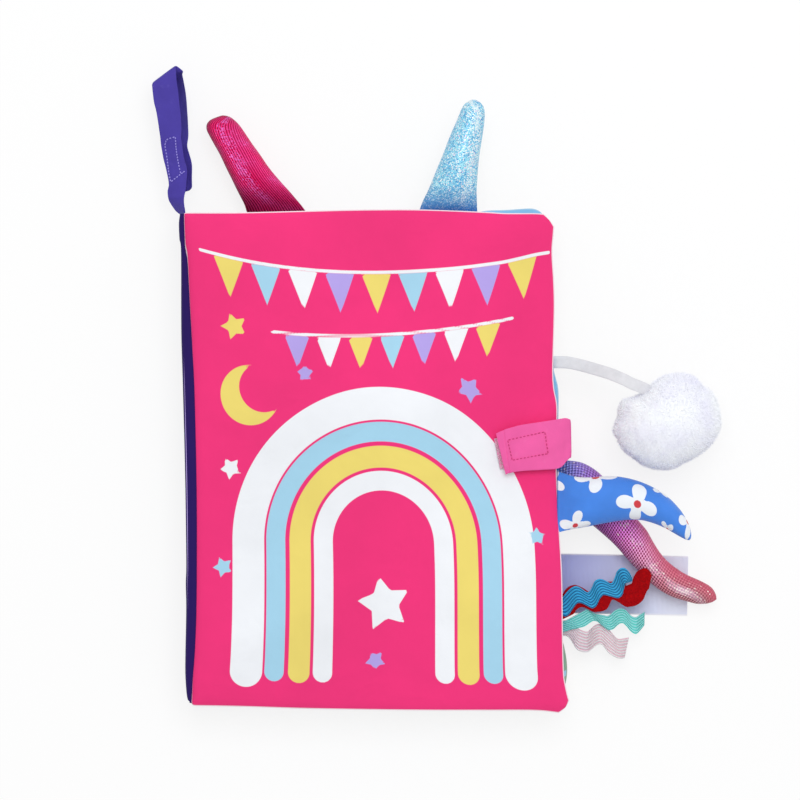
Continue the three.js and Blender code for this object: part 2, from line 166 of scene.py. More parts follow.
def slab(name, top, bottom, finish, marks=None):
    """A closed sheet between two grids of points, alike in rows and columns, joined all round."""
    count = top[..., 0].size
    upper = np.arange(count).reshape(top.shape[:2])
    inner = squares(upper[:, :-1], upper[:, 1:])
    edge = np.concatenate([upper[0], upper[1:, -1], upper[-1, -2::-1], upper[-2:0:-1, 0]])
    rim = grid(edge, edge + count, np.roll(edge, -1) + count, np.roll(edge, -1))
    points = np.concatenate([top.reshape(-1, 3), bottom.reshape(-1, 3)])
    marks = {label: np.tile(mark.reshape(count, -1), (2, 1)) for label, mark in (marks or {}).items()}
    faces = [np.concatenate([inner, inner[:, ::-1] + count, rim])]
    return build(name, points, faces, finish, marks)


END_SHARE, EDGE_SHARE = 0.3, 0.15


def band(name, line, across, half_width, thickness, finish, columns, round_off=8, sag=0.0):
    """A flat strap along a line. Across it, its half thickness is the root of 1 minus the place
    raised to a power, so that the edges are round, and its first and last rows are thin. A sag
    lowers each of its points."""
    place = 2 * edge_crowd(columns) - 1
    across = np.broadcast_to(across, line.shape)
    lift = unit(np.cross(across, np.gradient(line, axis=0)))
    half_width = np.broadcast_to(half_width, len(line))
    ends = np.ones(len(line))
    ends[[0, -1]] = END_SHARE
    swell = EDGE_SHARE + (1 - EDGE_SHARE) * np.sqrt(1 - np.abs(place) ** round_off)
    rise = spread(lift, ends[:, None] * (0.5 * thickness * swell))
    flat = line[:, None] + spread(across, half_width[:, None] * place)
    flat = flat - UP * np.broadcast_to(sag, flat.shape[:2])[..., None]
    texture = grid(half_width.mean() * place, travelled(line)[:, None])
    return slab(name, flat + rise, flat - rise, finish, {"cloth": texture})


def ruled(edges, rows):
    """A strap between two edge lines, each smooth through its places: its middle line, the
    direction from the first edge to the second, and its half width."""
    table = smooth(edges, rows)
    first, second = table[:, :3], table[:, 3:6]
    return (first + second) / 2, unit(second - first), np.linalg.norm(second - first, axis=1) / 2


def tube(name, rings, finish, marks=None):
    """A closed skin through rings of points, each end closed by a fan to its middle."""
    rows, sides = rings.shape[:2]
    index = np.arange(rows * sides).reshape(rows, sides)
    after = np.roll(index, -1, axis=1)
    first = np.full(sides, rows * sides)
    fans = np.concatenate([grid(first, after[0], index[0]), grid(first + 1, index[-1], after[-1])])
    points, *marks_now = [
        np.concatenate([mark.reshape(rows * sides, -1), mark[[0, -1]].reshape(2, sides, -1).mean(1)])
        for mark in (rings, *(marks or {}).values())]
    return build(name, points, [squares(index, after), fans], finish,
                 dict(zip(marks or {}, marks_now)))


def copies(name, points, faces, finish):
    """One mesh of many like bodies, from the points of each and the faces of one."""
    first = points.shape[1] * np.arange(len(points))[:, None, None]
    faces = [(first + face).reshape(-1, face.shape[1]) for face in faces]
    return build(name, points.reshape(-1, 3), faces, finish)


BELT_PLACE, BELT_WIDTH = 0.6, 0.7


def spikes(name, roots, tips, half_width, finish):
    """Fine closed spikes, each of three sides from a flat foot, past a narrower belt, to a tip."""
    along = unit(tips - roots)
    side = unit(np.cross(along, along[:, [1, 2, 0]] + 0.3))
    turns = (np.arange(3) * 2 * np.pi / 3)[:, None, None]
    ring = half_width * (np.cos(turns) * side + np.sin(turns) * np.cross(along, side))
    belts = roots + BELT_PLACE * (tips - roots) + BELT_WIDTH * ring
    points = np.concatenate([roots + ring, belts, tips[None]]).transpose(1, 0, 2)
    sides = np.array([(k, (k + 1) % 3, 3 + (k + 1) % 3, 3 + k) for k in range(3)])
    ends = np.array([(3, 4, 6), (4, 5, 6), (5, 3, 6), (0, 2, 1)])
    return copies(name, points, [sides, ends], finish)


def stitches(name, corners, pitch, radius, finish):
    """A row of stitches along straight runs between corners: each is a short thread that rises from
    the cloth and goes back in, six-sided and pointed at both ends."""
    corners = np.asarray(corners, float)
    starts, runs = corners[:-1], np.diff(corners, axis=0)
    counts = np.maximum((np.linalg.norm(runs, axis=1) / pitch).round().astype(int), 1)
    owner = np.repeat(np.arange(len(runs)), counts)
    step = np.concatenate([np.arange(count) + 0.5 for count in counts]) / counts[owner]
    along = unit(runs)[owner]
    across = unit(np.cross(along, UP))
    stations = np.array([-0.38, -0.25, 0.0, 0.25, 0.38]) * pitch
    widths = np.array([0.25, 0.9, 1.0, 0.9, 0.25]) * radius
    heights = np.array([-0.4, 0.35, 0.7, 0.35, -0.4]) * radius
    turns = (np.arange(6) * np.pi / 3)[:, None]
    middle = ((starts[owner] + runs[owner] * step[:, None])[:, None]
              + along[:, None] * stations[:, None] + UP * heights[:, None])
    ring = across[:, None, None] * np.cos(turns) + UP * np.sin(turns)
    points = middle[:, :, None] + ring * widths[:, None, None]
    index = np.arange(30).reshape(5, 6)
    caps = np.stack([index[0][::-1], index[-1]])
    return copies(name, points.reshape(-1, 30, 3), [squares(index, np.roll(index, -1, axis=1)), caps],
                  finish)


def placed(piece, body, node):
    """Attaches a piece to the body that it rides, or, where it is given two bodies and a place between
    them, bakes its place into its points; then hides the solid that it replaces, if any."""
    if isinstance(body, str):
        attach(piece, body)
    else:
        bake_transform(piece)
    if node:
        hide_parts(node)


# Shaders


def ink(code):
    """The shader's linear colour of a code such as #ff8800."""
    share = np.array([int(code[i:i + 2], 16) for i in (1, 3, 5)]) / 255
    linear = np.where(share <= 0.04045, share / 12.92, ((share + 0.055) / 1.055) ** 2.4)
    return (*linear.tolist(), 1.0)


def shade(tree, kind, inputs, output=0, **settings):
    """Adds one shader node and gives one of its outputs, if it has any. Each input is a value, a
    colour's code or another node's output."""
    made = tree.nodes.new("ShaderNode" + kind)
    for setting, value in settings.items():
        setattr(made, setting, value)
    for socket, value in inputs.items():
        if isinstance(value, Signal):
            tree.links.new(value.socket, made.inputs[socket])
        else:
            made.inputs[socket].default_value = ink(value) if isinstance(value, str) else value
    return Signal(made.outputs[output]) if made.outputs else None


class Signal:
    """The output of a shader node. Whatever is worked out from it adds nodes to its tree."""

    def __init__(self, socket):
        self.socket = socket

    def feed(self, kind, inputs, output=0, **settings):
        return shade(self.socket.id_data, kind, inputs, output, **settings)

    def other(self, output):
        """Another output of the same node."""
        return Signal(self.socket.node.outputs[output])

    def parts(self, kind):
        """The three parts of a place or a colour, by the kind of node that takes it apart."""
        first = self.feed(kind, {0: self})
        return first, first.other(1), first.other(2)

    def calc(self, operation, second=0.0, **settings):
        return self.feed("Math", {0: self, 1: second}, operation=operation, **settings)

    def __add__(self, second):
        return self.calc("ADD", second)

    def __sub__(self, second):
        return self.calc("SUBTRACT", second)

    def __mul__(self, second):
        return self.calc("MULTIPLY", second)

    def __abs__(self):
        return self.calc("ABSOLUTE")

    def sine(self, pitch):
        """A sine that repeats at each pitch."""
        return (self * (2 * np.pi / pitch)).calc("SINE")

    def between(self, low, high, to_low=0.0, to_high=1.0):
        """The value between low and high, brought to another range and kept in it."""
        return self.feed("MapRange", {0: self, 1: low, 2: high, 3: to_low, 4: to_high})

    def mix(self, under, over):
        """One colour laid over another, by this share."""
        return self.feed("Mix", {0: self, 6: under, 7: over}, 2, data_type="RGBA")

    def ramp(self, shares, inks):
        """A colour that runs through these inks, each at its share."""
        made = self.feed("ValToRGB", {0: self})
        elements = made.socket.node.color_ramp.elements
        while len(elements) < len(inks):
            elements.new(0.5)
        for element, share, code in zip(elements, shares, inks):
            element.position = share
            element.color = ink(code)
        return made


def toned(colour, grey):
    """A colour multiplied by a grey."""
    grey = grey.feed("CombineColor", {0: grey, 1: grey, 2: grey})
    return grey.feed("Mix", {0: 1.0, 6: colour, 7: grey}, 2, data_type="RGBA",
                     blend_type="MULTIPLY")


class Cloth:
    """The material of a cloth. Its patterns follow the cloth, across and along it, or else run
    through space."""

    SOCKETS = {"sheen": "Sheen Weight", "sheen_roughness": "Sheen Roughness", "alpha": "Alpha",
               "specular": "Specular IOR Level", "metallic": "Metallic"}

    def __init__(self, name, colour, roughness, follows=True, **alike):
        self.finish = bpy.data.materials.new(name)
        self.finish.use_nodes = True
        self.tree = self.finish.node_tree
        self.skin = self.tree.nodes["Principled BSDF"].inputs
        self.skin["Base Color"].default_value = ink(colour)
        self.skin["Roughness"].default_value = roughness
        for look, value in alike.items():
            self.skin[self.SOCKETS[look]].default_value = value
        self.place = (shade(self.tree, "UVMap", {}, uv_map="cloth") if follows
                      else shade(self.tree, "TexCoord", {}, "Object"))
        self.across, self.along = self.place.parts("SeparateXYZ")[:2]
        self.reliefs = {}

    def pattern(self, kind, scale, output, inputs=None, **settings):
        inputs = {"Vector": self.place, "Scale": scale} | (inputs or {})
        return shade(self.tree, "Tex" + kind, inputs, output, **settings)

    def noise(self, scale, detail, distortion=0.0):
        return self.pattern("Noise", scale, "Fac", {"Detail": detail, "Distortion": distortion})

    def cells(self, scale):
        """Three values drawn at random for each of many small cells."""
        return self.pattern("Voronoi", scale, "Color").parts("SeparateColor")

    def cloudy(self, scale, low, high):
        """A value between low and high that changes slowly over the cloth."""
        return self.noise(scale, 3.0).between(0.3, 0.7, low, high)

    def weave(self, pitch):
        """Threads that cross: the product of two sines."""
        return self.across.sine(pitch) * self.along.sine(pitch)

    def attribute(self, label):
        return shade(self.tree, "Attribute", {}, "Fac", attribute_name=label)

    def set(self, socket, signal):
        self.tree.links.new(signal.socket, self.skin[socket])

    def paint(self, colour):
        self.set("Base Color", colour)

    def relief(self, height, depth):
        """Adds a relief of this depth over the reliefs before it."""
        inputs = {"Height": height, "Distance": depth, "Strength": 1.0}
        self.reliefs["Normal"] = shade(self.tree, "Bump", inputs | self.reliefs)
        self.set("Normal", self.reliefs["Normal"])


# The table and the light

# The book lies on a plain white top, under one wide lamp and an even white sky. It is looked at
# from straight above, turned by the degree that it lies askew.
camera = linked("camera", bpy.data.cameras.new("camera"))
camera.data.lens = 189.3
camera.location = (0.0123, 0.0280, 2.0)
camera.rotation_euler = (0, 0, -0.0161)
bpy.context.scene.camera = camera
bpy.context.scene.view_settings.view_transform = "Standard"


def looked_at(tree):
    """1 where the eye, or a mirror-like surface, sees the background itself, and 0 elsewhere."""
    path = shade(tree, "LightPath", {}, "Is Camera Ray")
    seen = path + path.other("Is Glossy Ray")
    return seen.calc("ADD", path.other("Is Transmission Ray"), use_clamp=True)


def emptied(owner):
    """The shader tree of a material or world, with no nodes in it yet."""
    owner.use_nodes = True
    owner.node_tree.nodes.clear()
    return owner.node_tree


WHITE = (1, 1, 1, 1)
SKY_STRENGTH = 0.64
sky = bpy.data.worlds.new("sky")
sky_tree = emptied(sky)
sky_light = shade(sky_tree, "Background", {0: WHITE, 1: SKY_STRENGTH})
sky_white = shade(sky_tree, "Background", {0: WHITE, 1: 1.0})
sky_mixed = shade(sky_tree, "MixShader", {0: looked_at(sky_tree), 1: sky_light, 2: sky_white})
shade(sky_tree, "OutputWorld", {0: sky_mixed})
bpy.context.scene.world = sky

lamp = linked("lamp", bpy.data.lights.new("lamp", "AREA"))
lamp.data.size = 0.9
lamp.data.energy = 8.6
lamp.location = (0.15, 0.45, 1.3)
lamp.rotation_euler = (-0.316, 0.094, 0)

TABLE_HALF, TABLE_LEVEL = 4, -0.0004
TABLE_GLOW = 0.8
table = bpy.data.materials.new("white_table_top")
table_tree = emptied(table)
table_white = shade(table_tree, "Emission", {0: WHITE, 1: 1.0})
table_lit = shade(table_tree, "BsdfDiffuse", {0: (0.96, 0.96, 0.965, 1)})
table_mixed = shade(table_tree, "MixShader", {
    0: looked_at(table_tree) * TABLE_GLOW, 1: table_lit, 2: table_white})
shade(table_tree, "OutputMaterial", {0: table_mixed})
table_top = bpy.data.meshes.new("table_top")
table_top.from_pydata([(x * TABLE_HALF, y * TABLE_HALF, TABLE_LEVEL)
                       for x, y in ((-1, -1), (1, -1), (1, 1), (-1, 1))], [], [(0, 1, 2, 3)])
table_top.materials.append(table)
linked("table_top", table_top)

# The pompom's ribbon

# A silver-white satin ribbon, sewn into the first leaf's fore edge. It arches a little and runs
# down into the pompom.
RIBBON_ROUTE = [
    (84.4, 44.6, 20.5), (86.8, 44.6, 20.5), (92, 44.3, 20.1), (98, 42.9, 21), (104.5, 40.9, 24.2),
    (111, 38.7, 28), (116.9, 36.1, 30.6), (121.1, 33.9, 31.2), (125.2, 32.2, 30.9), (129.3, 30.2, 29.4),
    (132.2, 28.2, 27.4)]
RIBBON_WIDTH, RIBBON_THICKNESS = 5.7, 0.9
RIBBON_ROWS = 70
RIBBON_TWIST, RIBBON_TURN, RIBBON_LAG = 0.22, 2.6, 0.4


def satin():
    """Satin ribbon: fine threads across it, a faint wave in tone, and a soft sheen."""
    colour = "#e3e3e8"
    cloth = Cloth("silver_white_satin", colour, 0.5, sheen=0.25, sheen_roughness=0.4, specular=0.45)
    rows, threads = cloth.along.sine(0.00042), cloth.across.sine(0.00055)
    now = toned(colour, cloth.cloudy(260, 0.95, 1.05))
    cloth.paint(toned(now, (rows * threads).between(-1, 1, 0.96, 1.04)))
    cloth.relief(rows + threads, 0.00003)
    return cloth.finish


ribbon_line = smooth(RIBBON_ROUTE, RIBBON_ROWS)
ribbon_run = np.linspace(0, 1, RIBBON_ROWS)[:, None]
ribbon_across = unit(np.cross(np.gradient(ribbon_line, axis=0), UP))
ribbon_across = unit(
    ribbon_across + RIBBON_TWIST * np.sin(RIBBON_TURN * ribbon_run - RIBBON_LAG) * UP)
ribbon = band("pompom_satin_ribbon", ribbon_line, ribbon_across, RIBBON_WIDTH / 2,
              RIBBON_THICKNESS, satin(), columns=17, round_off=4)
placed(ribbon, "pompom", "pompom_ribbon")

# The pompom

# A ball of soft white fibre, tied tight at its middle and cut round. It is made as a lumpy core
# that thousands of fine tapered fibres stand out of. Its reach is given by direction, in degrees.
POMPOM_PLACE = np.array([137.6, 16.0, 22.6])
POMPOM_HALF_HEIGHT = 21.8
POMPOM_TOP_REACH = 24
POMPOM_FIBRES = 19000
FIBRE_HALF_WIDTH, FIBRE_SHORTEST, FIBRE_LONGEST = 0.13, 0.8, 1.9
CORE_SHARE, ROOT_SHARE = 0.965, 0.96
CORE_LOWEST, FIBRE_LOWEST = 0.6, 0.5
CORE_RINGS, CORE_SIDES, CORE_POLE = 70, 150, 0.04
FIBRE_SCATTER, FIBRE_LEAN = 0.012, 0.6
LUMP_HEIGHT = 0.03
POMPOM_REACH = [
    (10, 25.6), (23, 25.7), (35, 25.4), (43, 24), (50, 24.6), (62, 24.8), (76, 23.6), (94, 21.4),
    (112, 19), (122, 17.4), (133, 17.8), (144, 19.6), (153, 23.2), (164, 24), (173, 23.5), (182, 24.9),
    (190, 26.2), (198, 25.3), (212, 25), (228, 23.6), (240, 23.8), (252, 23.4), (273, 22.9), (291, 21.4),
    (314, 22.1), (329, 23.5), (345, 25.1), (356, 25.7)]


def pile_white():
    """White fibre pile: very rough, with a soft sheen and a faint cool cloudiness."""
    cloth = Cloth("white_fibre_pile", "#fdfdff", 0.95, False, sheen=0.75, sheen_roughness=0.5,
                  specular=0.15)
    cloud = cloth.noise(70, 4)
    cloth.paint(cloud.between(0.4, 0.75).mix("#fafcff", "#f0f0fc"))
    cloth.relief(cloud, 0.0006)
    return cloth.finish


def ball_reach(way):
    """How far the ball reaches in a direction: level, by a closed smooth line of reaches round it,
    and upwards, by its half height, with soft lumps."""
    turn = np.degrees(np.arctan2(way[..., 1], way[..., 0])) % 360
    line = smooth([(angle + lap, reach) for lap in (-360, 0, 360)
                   for angle, reach in POMPOM_REACH], 900)
    steep = way[..., 2] ** 2
    level = np.interp(turn, line[:, 0], line[:, 1]) * (1 - steep) + POMPOM_TOP_REACH * steep
    lumps = ripples(way[..., 0] * 26 + way[..., 2] * 9, way[..., 1] * 24, 5, 26, 7)
    halves = grid(level, level, POMPOM_HALF_HEIGHT)
    return halves * (1 + LUMP_HEIGHT * lumps * (0.2 + 0.8 * steep))[..., None]


pompom_pile = pile_white()
ball_down, ball_round = np.meshgrid(np.linspace(CORE_POLE, np.pi - CORE_POLE, CORE_RINGS),
                                    np.linspace(0, 2 * np.pi, CORE_SIDES, endpoint=False),
                                    indexing="ij")
ball_way = heading(np.sin(ball_down), ball_round, np.cos(ball_down))
ball = POMPOM_PLACE + CORE_SHARE * ball_way * ball_reach(ball_way)
ball[..., 2] = np.maximum(ball[..., 2], CORE_LOWEST)
pompom_core = tube("pompom_core", ball, pompom_pile)
fibre_draw = np.random.default_rng(11)
fibre_step = np.arange(POMPOM_FIBRES)
fibre_height = 1 - 2 * (fibre_step + 0.5) / POMPOM_FIBRES
fibre_way = heading(np.sqrt(1 - fibre_height**2), fibre_step * np.pi * (3 - np.sqrt(5)),
                    fibre_height)
fibre_way = unit(fibre_way + fibre_draw.normal(0, FIBRE_SCATTER, fibre_way.shape))
fibre_lean = unit(fibre_way + fibre_draw.normal(0, FIBRE_LEAN, fibre_way.shape))
fibre_root = POMPOM_PLACE + ROOT_SHARE * fibre_way * ball_reach(fibre_way)
fibre_length = fibre_draw.uniform(FIBRE_SHORTEST, FIBRE_LONGEST, (POMPOM_FIBRES, 1))
fibre_tip = fibre_root + fibre_lean * fibre_length
for fibre_end in (fibre_root, fibre_tip):
    fibre_end[:, 2] = np.maximum(fibre_end[:, 2], FIBRE_LOWEST)
pompom_fibres = spikes("pompom_fibres", fibre_root, fibre_tip, FIBRE_HALF_WIDTH, pompom_pile)
placed(pompom_core, "pompom", "pompom")
placed(pompom_fibres, "pompom", None)
(ribbon_line * MM).tolist()

# The boards

# Two covers and four leaves. Each is two printed cotton panels, sewn face to face and turned, over
# a crumpled crinkle film and a thin layer of wadding. The sewn hinge side stays thin. A panel is
# planned as a cut rectangle and then laid between the board's four edges.
CUT_LEFT, CUT_RIGHT, CUT_HALF_HEIGHT = -87.0, 86.0, 115.0
LOWEST_LEVEL, BOARD_PITCH = 2.1, 4.6
CLOTH = 0.5
CROWN, SEAM_HEIGHT, SEAM_WIDTH, SEAM_FALL = 2.0, 0.06, 0.1, 2.3
SEAM_LINE, SEAM_LINE_FADE = 0.15, 0.7
EVEN_EDGE, UNEVEN_RAMP = 2, 12
LEAST_GAP = 0.03
FLAP_SHARE, FLAP_RAMP = 0.16, 5
FILM_GRID, FILM_INSETS = (60, 76), (12, 7)
FILM_LEVEL, FILM_HALF, FILM_CRUMPLE = 1.13, 0.05, 0.14
WADDING_TOP, WADDING_BOTTOM, WADDING_LUMPS = 0.72, -1.2, 0.08
WADDING_EDGE, WADDING_FALL = 0.15, 1.6
PRINT_EDGE = 0.16
LINE_HALF_WIDTHS = {"ring_line": 1.6, "other_line": 1.6, "white_line": 3.6, "blue_line": 1.4}


def cotton(name, colour, prints=(), seam="#fbe6f0", **more):
    """Printed cotton: a plain weave of two sets of sines, faint crinkles from the film behind it,
    prints whose outlines are where an attribute crosses 0, and a pale line along the seam. A print
    that is a line holds the distance to the line's middle, signed by its side."""
    alike = {"sheen": 0.12, "sheen_roughness": 0.5, "specular": 0.28} | more
    cloth = Cloth(name, colour, 0.78, False, **alike)
    weave = cloth.weave(0.00056)
    now = colour
    for label, shape_ink in prints:
        shape = cloth.attribute(label)
        if label.endswith("_line"):
            shape = abs(shape) - LINE_HALF_WIDTHS[label]
        now = shape.between(PRINT_EDGE, -PRINT_EDGE).mix(now, shape_ink)
    now = cloth.attribute("seam").between(0.35, 0.7, 0, 0.95).mix(now, seam)
    now = toned(now, cloth.cloudy(22, 0.92, 1.03))
    cloth.paint(toned(now, weave.between(-1, 1, 0.97, 1.015)))
    cloth.relief(cloth.noise(46, 2, 0.6), 0.00132)
    cloth.relief(weave, 0.00004)
    return cloth.finish


def panel_plan(columns, rows, corners, drawn_in=(0, 0)):
    """Cut places of a panel's grid, and each place's distance from the sewn edge. Lines crowd
    towards the edges. A corner's square is drawn into a quarter circle, where each part is
    shortened by the root of 1 minus half the square of the other part's share, or into a straight
    cut, where it is shortened by half the other's share."""
    left, right = CUT_LEFT + drawn_in[0], CUT_RIGHT - drawn_in[1]
    half = CUT_HALF_HEIGHT - drawn_in[1]
    x, y = np.meshgrid(left + (right - left) * edge_crowd(columns),
                       half * (2 * edge_crowd(rows) - 1))
    inset = np.minimum(np.minimum(x - left, right - x), half - np.abs(y))
    pull_x, pull_y = np.zeros(x.shape), np.zeros(y.shape)
    for side_x, side_y, size, straight in corners:
        out_x = np.clip(side_x * (x - (right if side_x > 0 else left)) + size, 0, size)
        out_y = np.clip(side_y * y - half + size, 0, size)
        for pull, side, out, other in ((pull_x, side_x, out_x, out_y),
                                       (pull_y, side_y, out_y, out_x)):
            share = other / size
            round_cut = 1 - np.sqrt(1 - share**2 / 2)
            pull += side * out * (straight * share / 2 + (1 - straight) * round_cut)
    return x - pull_x, y - pull_y, inset


def lain(x, y, board):
    """Where a cut place lies in the book: shared out between the board's left and right edges, and
    between its bottom and top edges, since a sewn and turned board isn't quite square."""
    share_x = (x - CUT_LEFT) / (CUT_RIGHT - CUT_LEFT)
    share_y = (y + CUT_HALF_HEIGHT) / (2 * CUT_HALF_HEIGHT)
    return [along_edge(board[near], place) * (1 - share) + along_edge(board[far], place) * share
            for near, far, place, share in (("left", "right", y, share_x),
                                            ("bottom", "top", x, share_y))]


def crowned(inset, x, board):
    """Height over the board's middle: it leaves the seam steeply and levels off, as 1 minus a
    falling exponential of the distance from the seam, and the hinge flap stays thin."""
    rise = 1 - np.exp(-np.maximum(inset - SEAM_WIDTH, 0) / SEAM_FALL)
    flap_end = CUT_LEFT + board["flap"]
    full = FLAP_SHARE + (1 - FLAP_SHARE) * eased(x, flap_end, flap_end + FLAP_RAMP)
    return SEAM_HEIGHT + (CROWN - SEAM_HEIGHT) * rise * full


def panel(board, face, side, page, seed):
    """One cotton panel: an outer face and an inner face half a millimetre behind it, joined at the
    seam. The outer face is the crown with a slight unevenness away from the edge."""
    finish, prints, slot, size = page
    x, y, inset = panel_plan(*size, board["corners"])
    away = np.clip((inset - EVEN_EDGE) / UNEVEN_RAMP, 0, 1)
    rise = crowned(inset, x, board) + board["uneven"] * ripples(x, y, seed, 70, 9) * away
    back = np.maximum(rise - CLOTH, LEAST_GAP)
    lie = lain(x, y, board)
    outer, inner = (grid(*lie, board["level"] + side * height) for height in (rise, back))
    marks = {"seam": np.clip(1 - (inset - SEAM_LINE) / SEAM_LINE_FADE, 0, 1)} | prints(x, y)
    node = f"{board['name']}_{face}"
    made = slab(node + "_cloth", outer, inner, finish, marks)
    placed(made, board["name"], node + "_panel")


def filling(board, seed):
    """The crinkle film and the wadding inside one board, drawn in from its seams."""
    x, y, inset = panel_plan(*FILM_GRID, board["corners"], FILM_INSETS)
    lie_x, lie_y = lain(x, y, board)
    film = board["level"] + FILM_LEVEL + FILM_CRUMPLE * ripples(x, y, seed + 20, 34, 4, 12)
    film_piece = slab(board["name"] + "_film", grid(lie_x, lie_y, film + FILM_HALF),
                      grid(lie_x, lie_y, film - FILM_HALF), crinkle_film.finish)
    pad = WADDING_EDGE + (1 - WADDING_EDGE) * (1 - np.exp(-inset / WADDING_FALL))
    middle = board["level"] + WADDING_LUMPS * ripples(x, y, seed + 40, 30, 6)
    wadding_piece = slab(board["name"] + "_fibre", grid(lie_x, lie_y, middle + WADDING_TOP * pad),
                         grid(lie_x, lie_y, middle + WADDING_BOTTOM * pad), wadding.finish)
    placed(film_piece, board["name"], board["name"] + "_crinkle_film")
    placed(wadding_piece, board["name"], board["name"] + "_wadding")


crinkle_film = Cloth("crumpled_clear_film", "#e4e8ec", 0.22, False, alpha=0.6, specular=0.5)
film_crease = crinkle_film.pattern("Voronoi", 140, "Distance", feature="DISTANCE_TO_EDGE")
crinkle_film.relief(film_crease.between(0, 0.3), 0.0004)
wadding = Cloth("white_wadding", "#f3f3f1", 0.95, False, sheen=0.3)
wadding_fluff = wadding.noise(500, 5)
wadding.relief(wadding_fluff, 0.0005)
wadding.paint(wadding_fluff.mix("#e6e6e4", "#fafaf8"))


# The prints

# Each is told by the signed distance to its outline in the cut panel, below 0 inside.


def nearest(shapes):
    """The distance to the nearest of several shapes."""
    return np.minimum.reduce(shapes)


def arch(x, y, middle, radius, width, foot):
    """One bow of a rainbow: a half ring whose ends run straight down to round feet."""
    dx = np.abs(x - middle[0])
    reach = np.where(y > middle[1], np.hypot(dx, y - middle[1]), dx)
    near = np.abs(reach - radius)
    return np.where(y > foot, near, np.hypot(dx - radius, y - foot)) - width / 2


STAR_INNER_SHARE = 0.52


def star(x, y, radius, turn=0.0):
    """A five-pointed star about 0: the angle is folded into a tenth of a turn, where one straight
    edge runs from the tip to the inner corner."""
    fifth = 2 * np.pi / 5
    angle = np.abs((np.arctan2(x, y) + turn + fifth / 2) % fifth - fifth / 2)
    length = np.hypot(x, y)
    across, up = length * np.sin(angle), length * np.cos(angle)
    corner = STAR_INNER_SHARE * radius * np.array([np.sin(fifth / 2), np.cos(fifth / 2)])
    edge = unit(corner - [0, radius])
    return across * -edge[1] + (up - radius) * edge[0]


# The cover's print: stars as a place, a radius and a turn, a moon and the circle that is cut from it
# as a place and a radius, a rainbow's bows as a radius and a width, and two strings of bunting,
# each of which hangs by its drop at its middle and is level at its bend.
STRING_HALF_WIDTH, FLAG_GAP = 0.75, 0.8
MOON, MOON_CUT = (-60, 30, 14), (-53.5, 33.5, 11.5)
STARS = {"white": [(2, -66, 13, 0.2), (-70, -4, 5.5, 0.5), (74, 12, 6, 0.1)],
         "blue": [(75, -34, 4.5, 0), (-74, -50, 5, 0.4)],
         "yellow": [(-66, 62, 6.5, 0.3)],
         "lilac": [(45, 33, 6.5, 0.6), (-2, -92, 5, 0.6), (-33, 40, 4.5, 0)]}
RAINBOW_MIDDLE, RAINBOW_FOOT = (2, -38), -98
RAINBOW = [("white", 64, 15), ("blue", 51, 9), ("yellow", 39.5, 10), ("white", 28.5, 9)]
BUNTINGS = [
    {"level": 97, "drop": 11, "middle": 2, "bend": 80, "string": (2, 82), "ends": (-76, 80),
     "count": 9, "width": 14.5, "height": 19, "inks": ("yellow", "blue", "white", "lilac")},
    {"level": 66, "drop": 9, "middle": -10, "bend": 74, "string": (9, 57), "ends": (-44, 62),
     "count": 7, "width": 12.5, "height": 16, "inks": ("lilac", "white", "yellow", "blue")}]


def cover_prints(x, y):
    """A rainbow with round feet, stars, a moon, and two strings of bunting. Each flag's two slanted
    edges run from the string to its point."""
    disc, cut = (np.hypot(x - place_x, y - place_y) - radius
                 for place_x, place_y, radius in (MOON, MOON_CUT))
    moon = np.maximum(disc, -cut)
    shapes = {colour: [star(x - place_x, y - place_y, *more) for place_x, place_y, *more in stars]
              for colour, stars in STARS.items()}
    shapes["yellow"].append(moon)
    shapes["string"] = []
    for colour, radius, width in RAINBOW:
        shapes[colour].append(arch(x, y, RAINBOW_MIDDLE, radius, width, RAINBOW_FOOT))
    for row in BUNTINGS:
        drop = y - row["level"] + row["drop"] * (1 - ((x - row["middle"]) / row["bend"]) ** 2)
        middle, reach = row["string"]
        past = np.maximum(np.abs(x - middle) - reach, 0)
        shapes["string"].append(np.hypot(past, drop) - STRING_HALF_WIDTH)
        start, stop = row["ends"]
        half, height = row["width"] / 2, row["height"]
        for flag in range(row["count"]):
            middle = start + (stop - start) * (flag + 0.5) / row["count"]
            slanted = (np.abs(x - middle) * height - half * (height + drop)) / np.hypot(height, half)
            shapes[row["inks"][flag % 4]].append(np.maximum(drop + FLAG_GAP, slanted))
    return {colour + "_print": nearest(found) for colour, found in shapes.items()}


def staggered(x, y, pitch):
    """Places measured from the nearest of many middles in staggered rows."""
    row = np.round(y / pitch)
    return (x + row % 2 * pitch / 2 + pitch / 2) % pitch - pitch / 2, y - row * pitch


def dotted(pitch, radius):
    """Prints of round dots in staggered rows."""
    return lambda x, y: {"white_print": np.hypot(*staggered(x, y, pitch)) - radius}


def starry(pitch, radius):
    """Prints of stars in staggered rows, with a dot in each."""
    def prints(x, y):
        dx, dy = staggered(x, y, pitch)
        return {"white_print": star(dx, dy, radius), "yellow_print": np.hypot(dx, dy) - 0.3 * radius}
    return prints


RING_SHARE, RING_DOT_SHARE = 0.42, 0.1
WAVE_HEIGHT, WAVE_RUN = 4.5, 9


def ringed(pitch):
    """Prints of rings that overlap like links, with a dot in each: two sets of rings on square
    grids, the second set midway between the first."""
    def prints(x, y):
        reaches = [np.hypot((x + shift) % pitch - pitch / 2, (y + shift) % pitch - pitch / 2)
                   for shift in (0, pitch / 2)]
        ring, other = (reach - RING_SHARE * pitch for reach in reaches)
        return {"ring_line": ring, "other_line": other,
                "lilac_print": nearest(reaches) - RING_DOT_SHARE * pitch}
    return prints


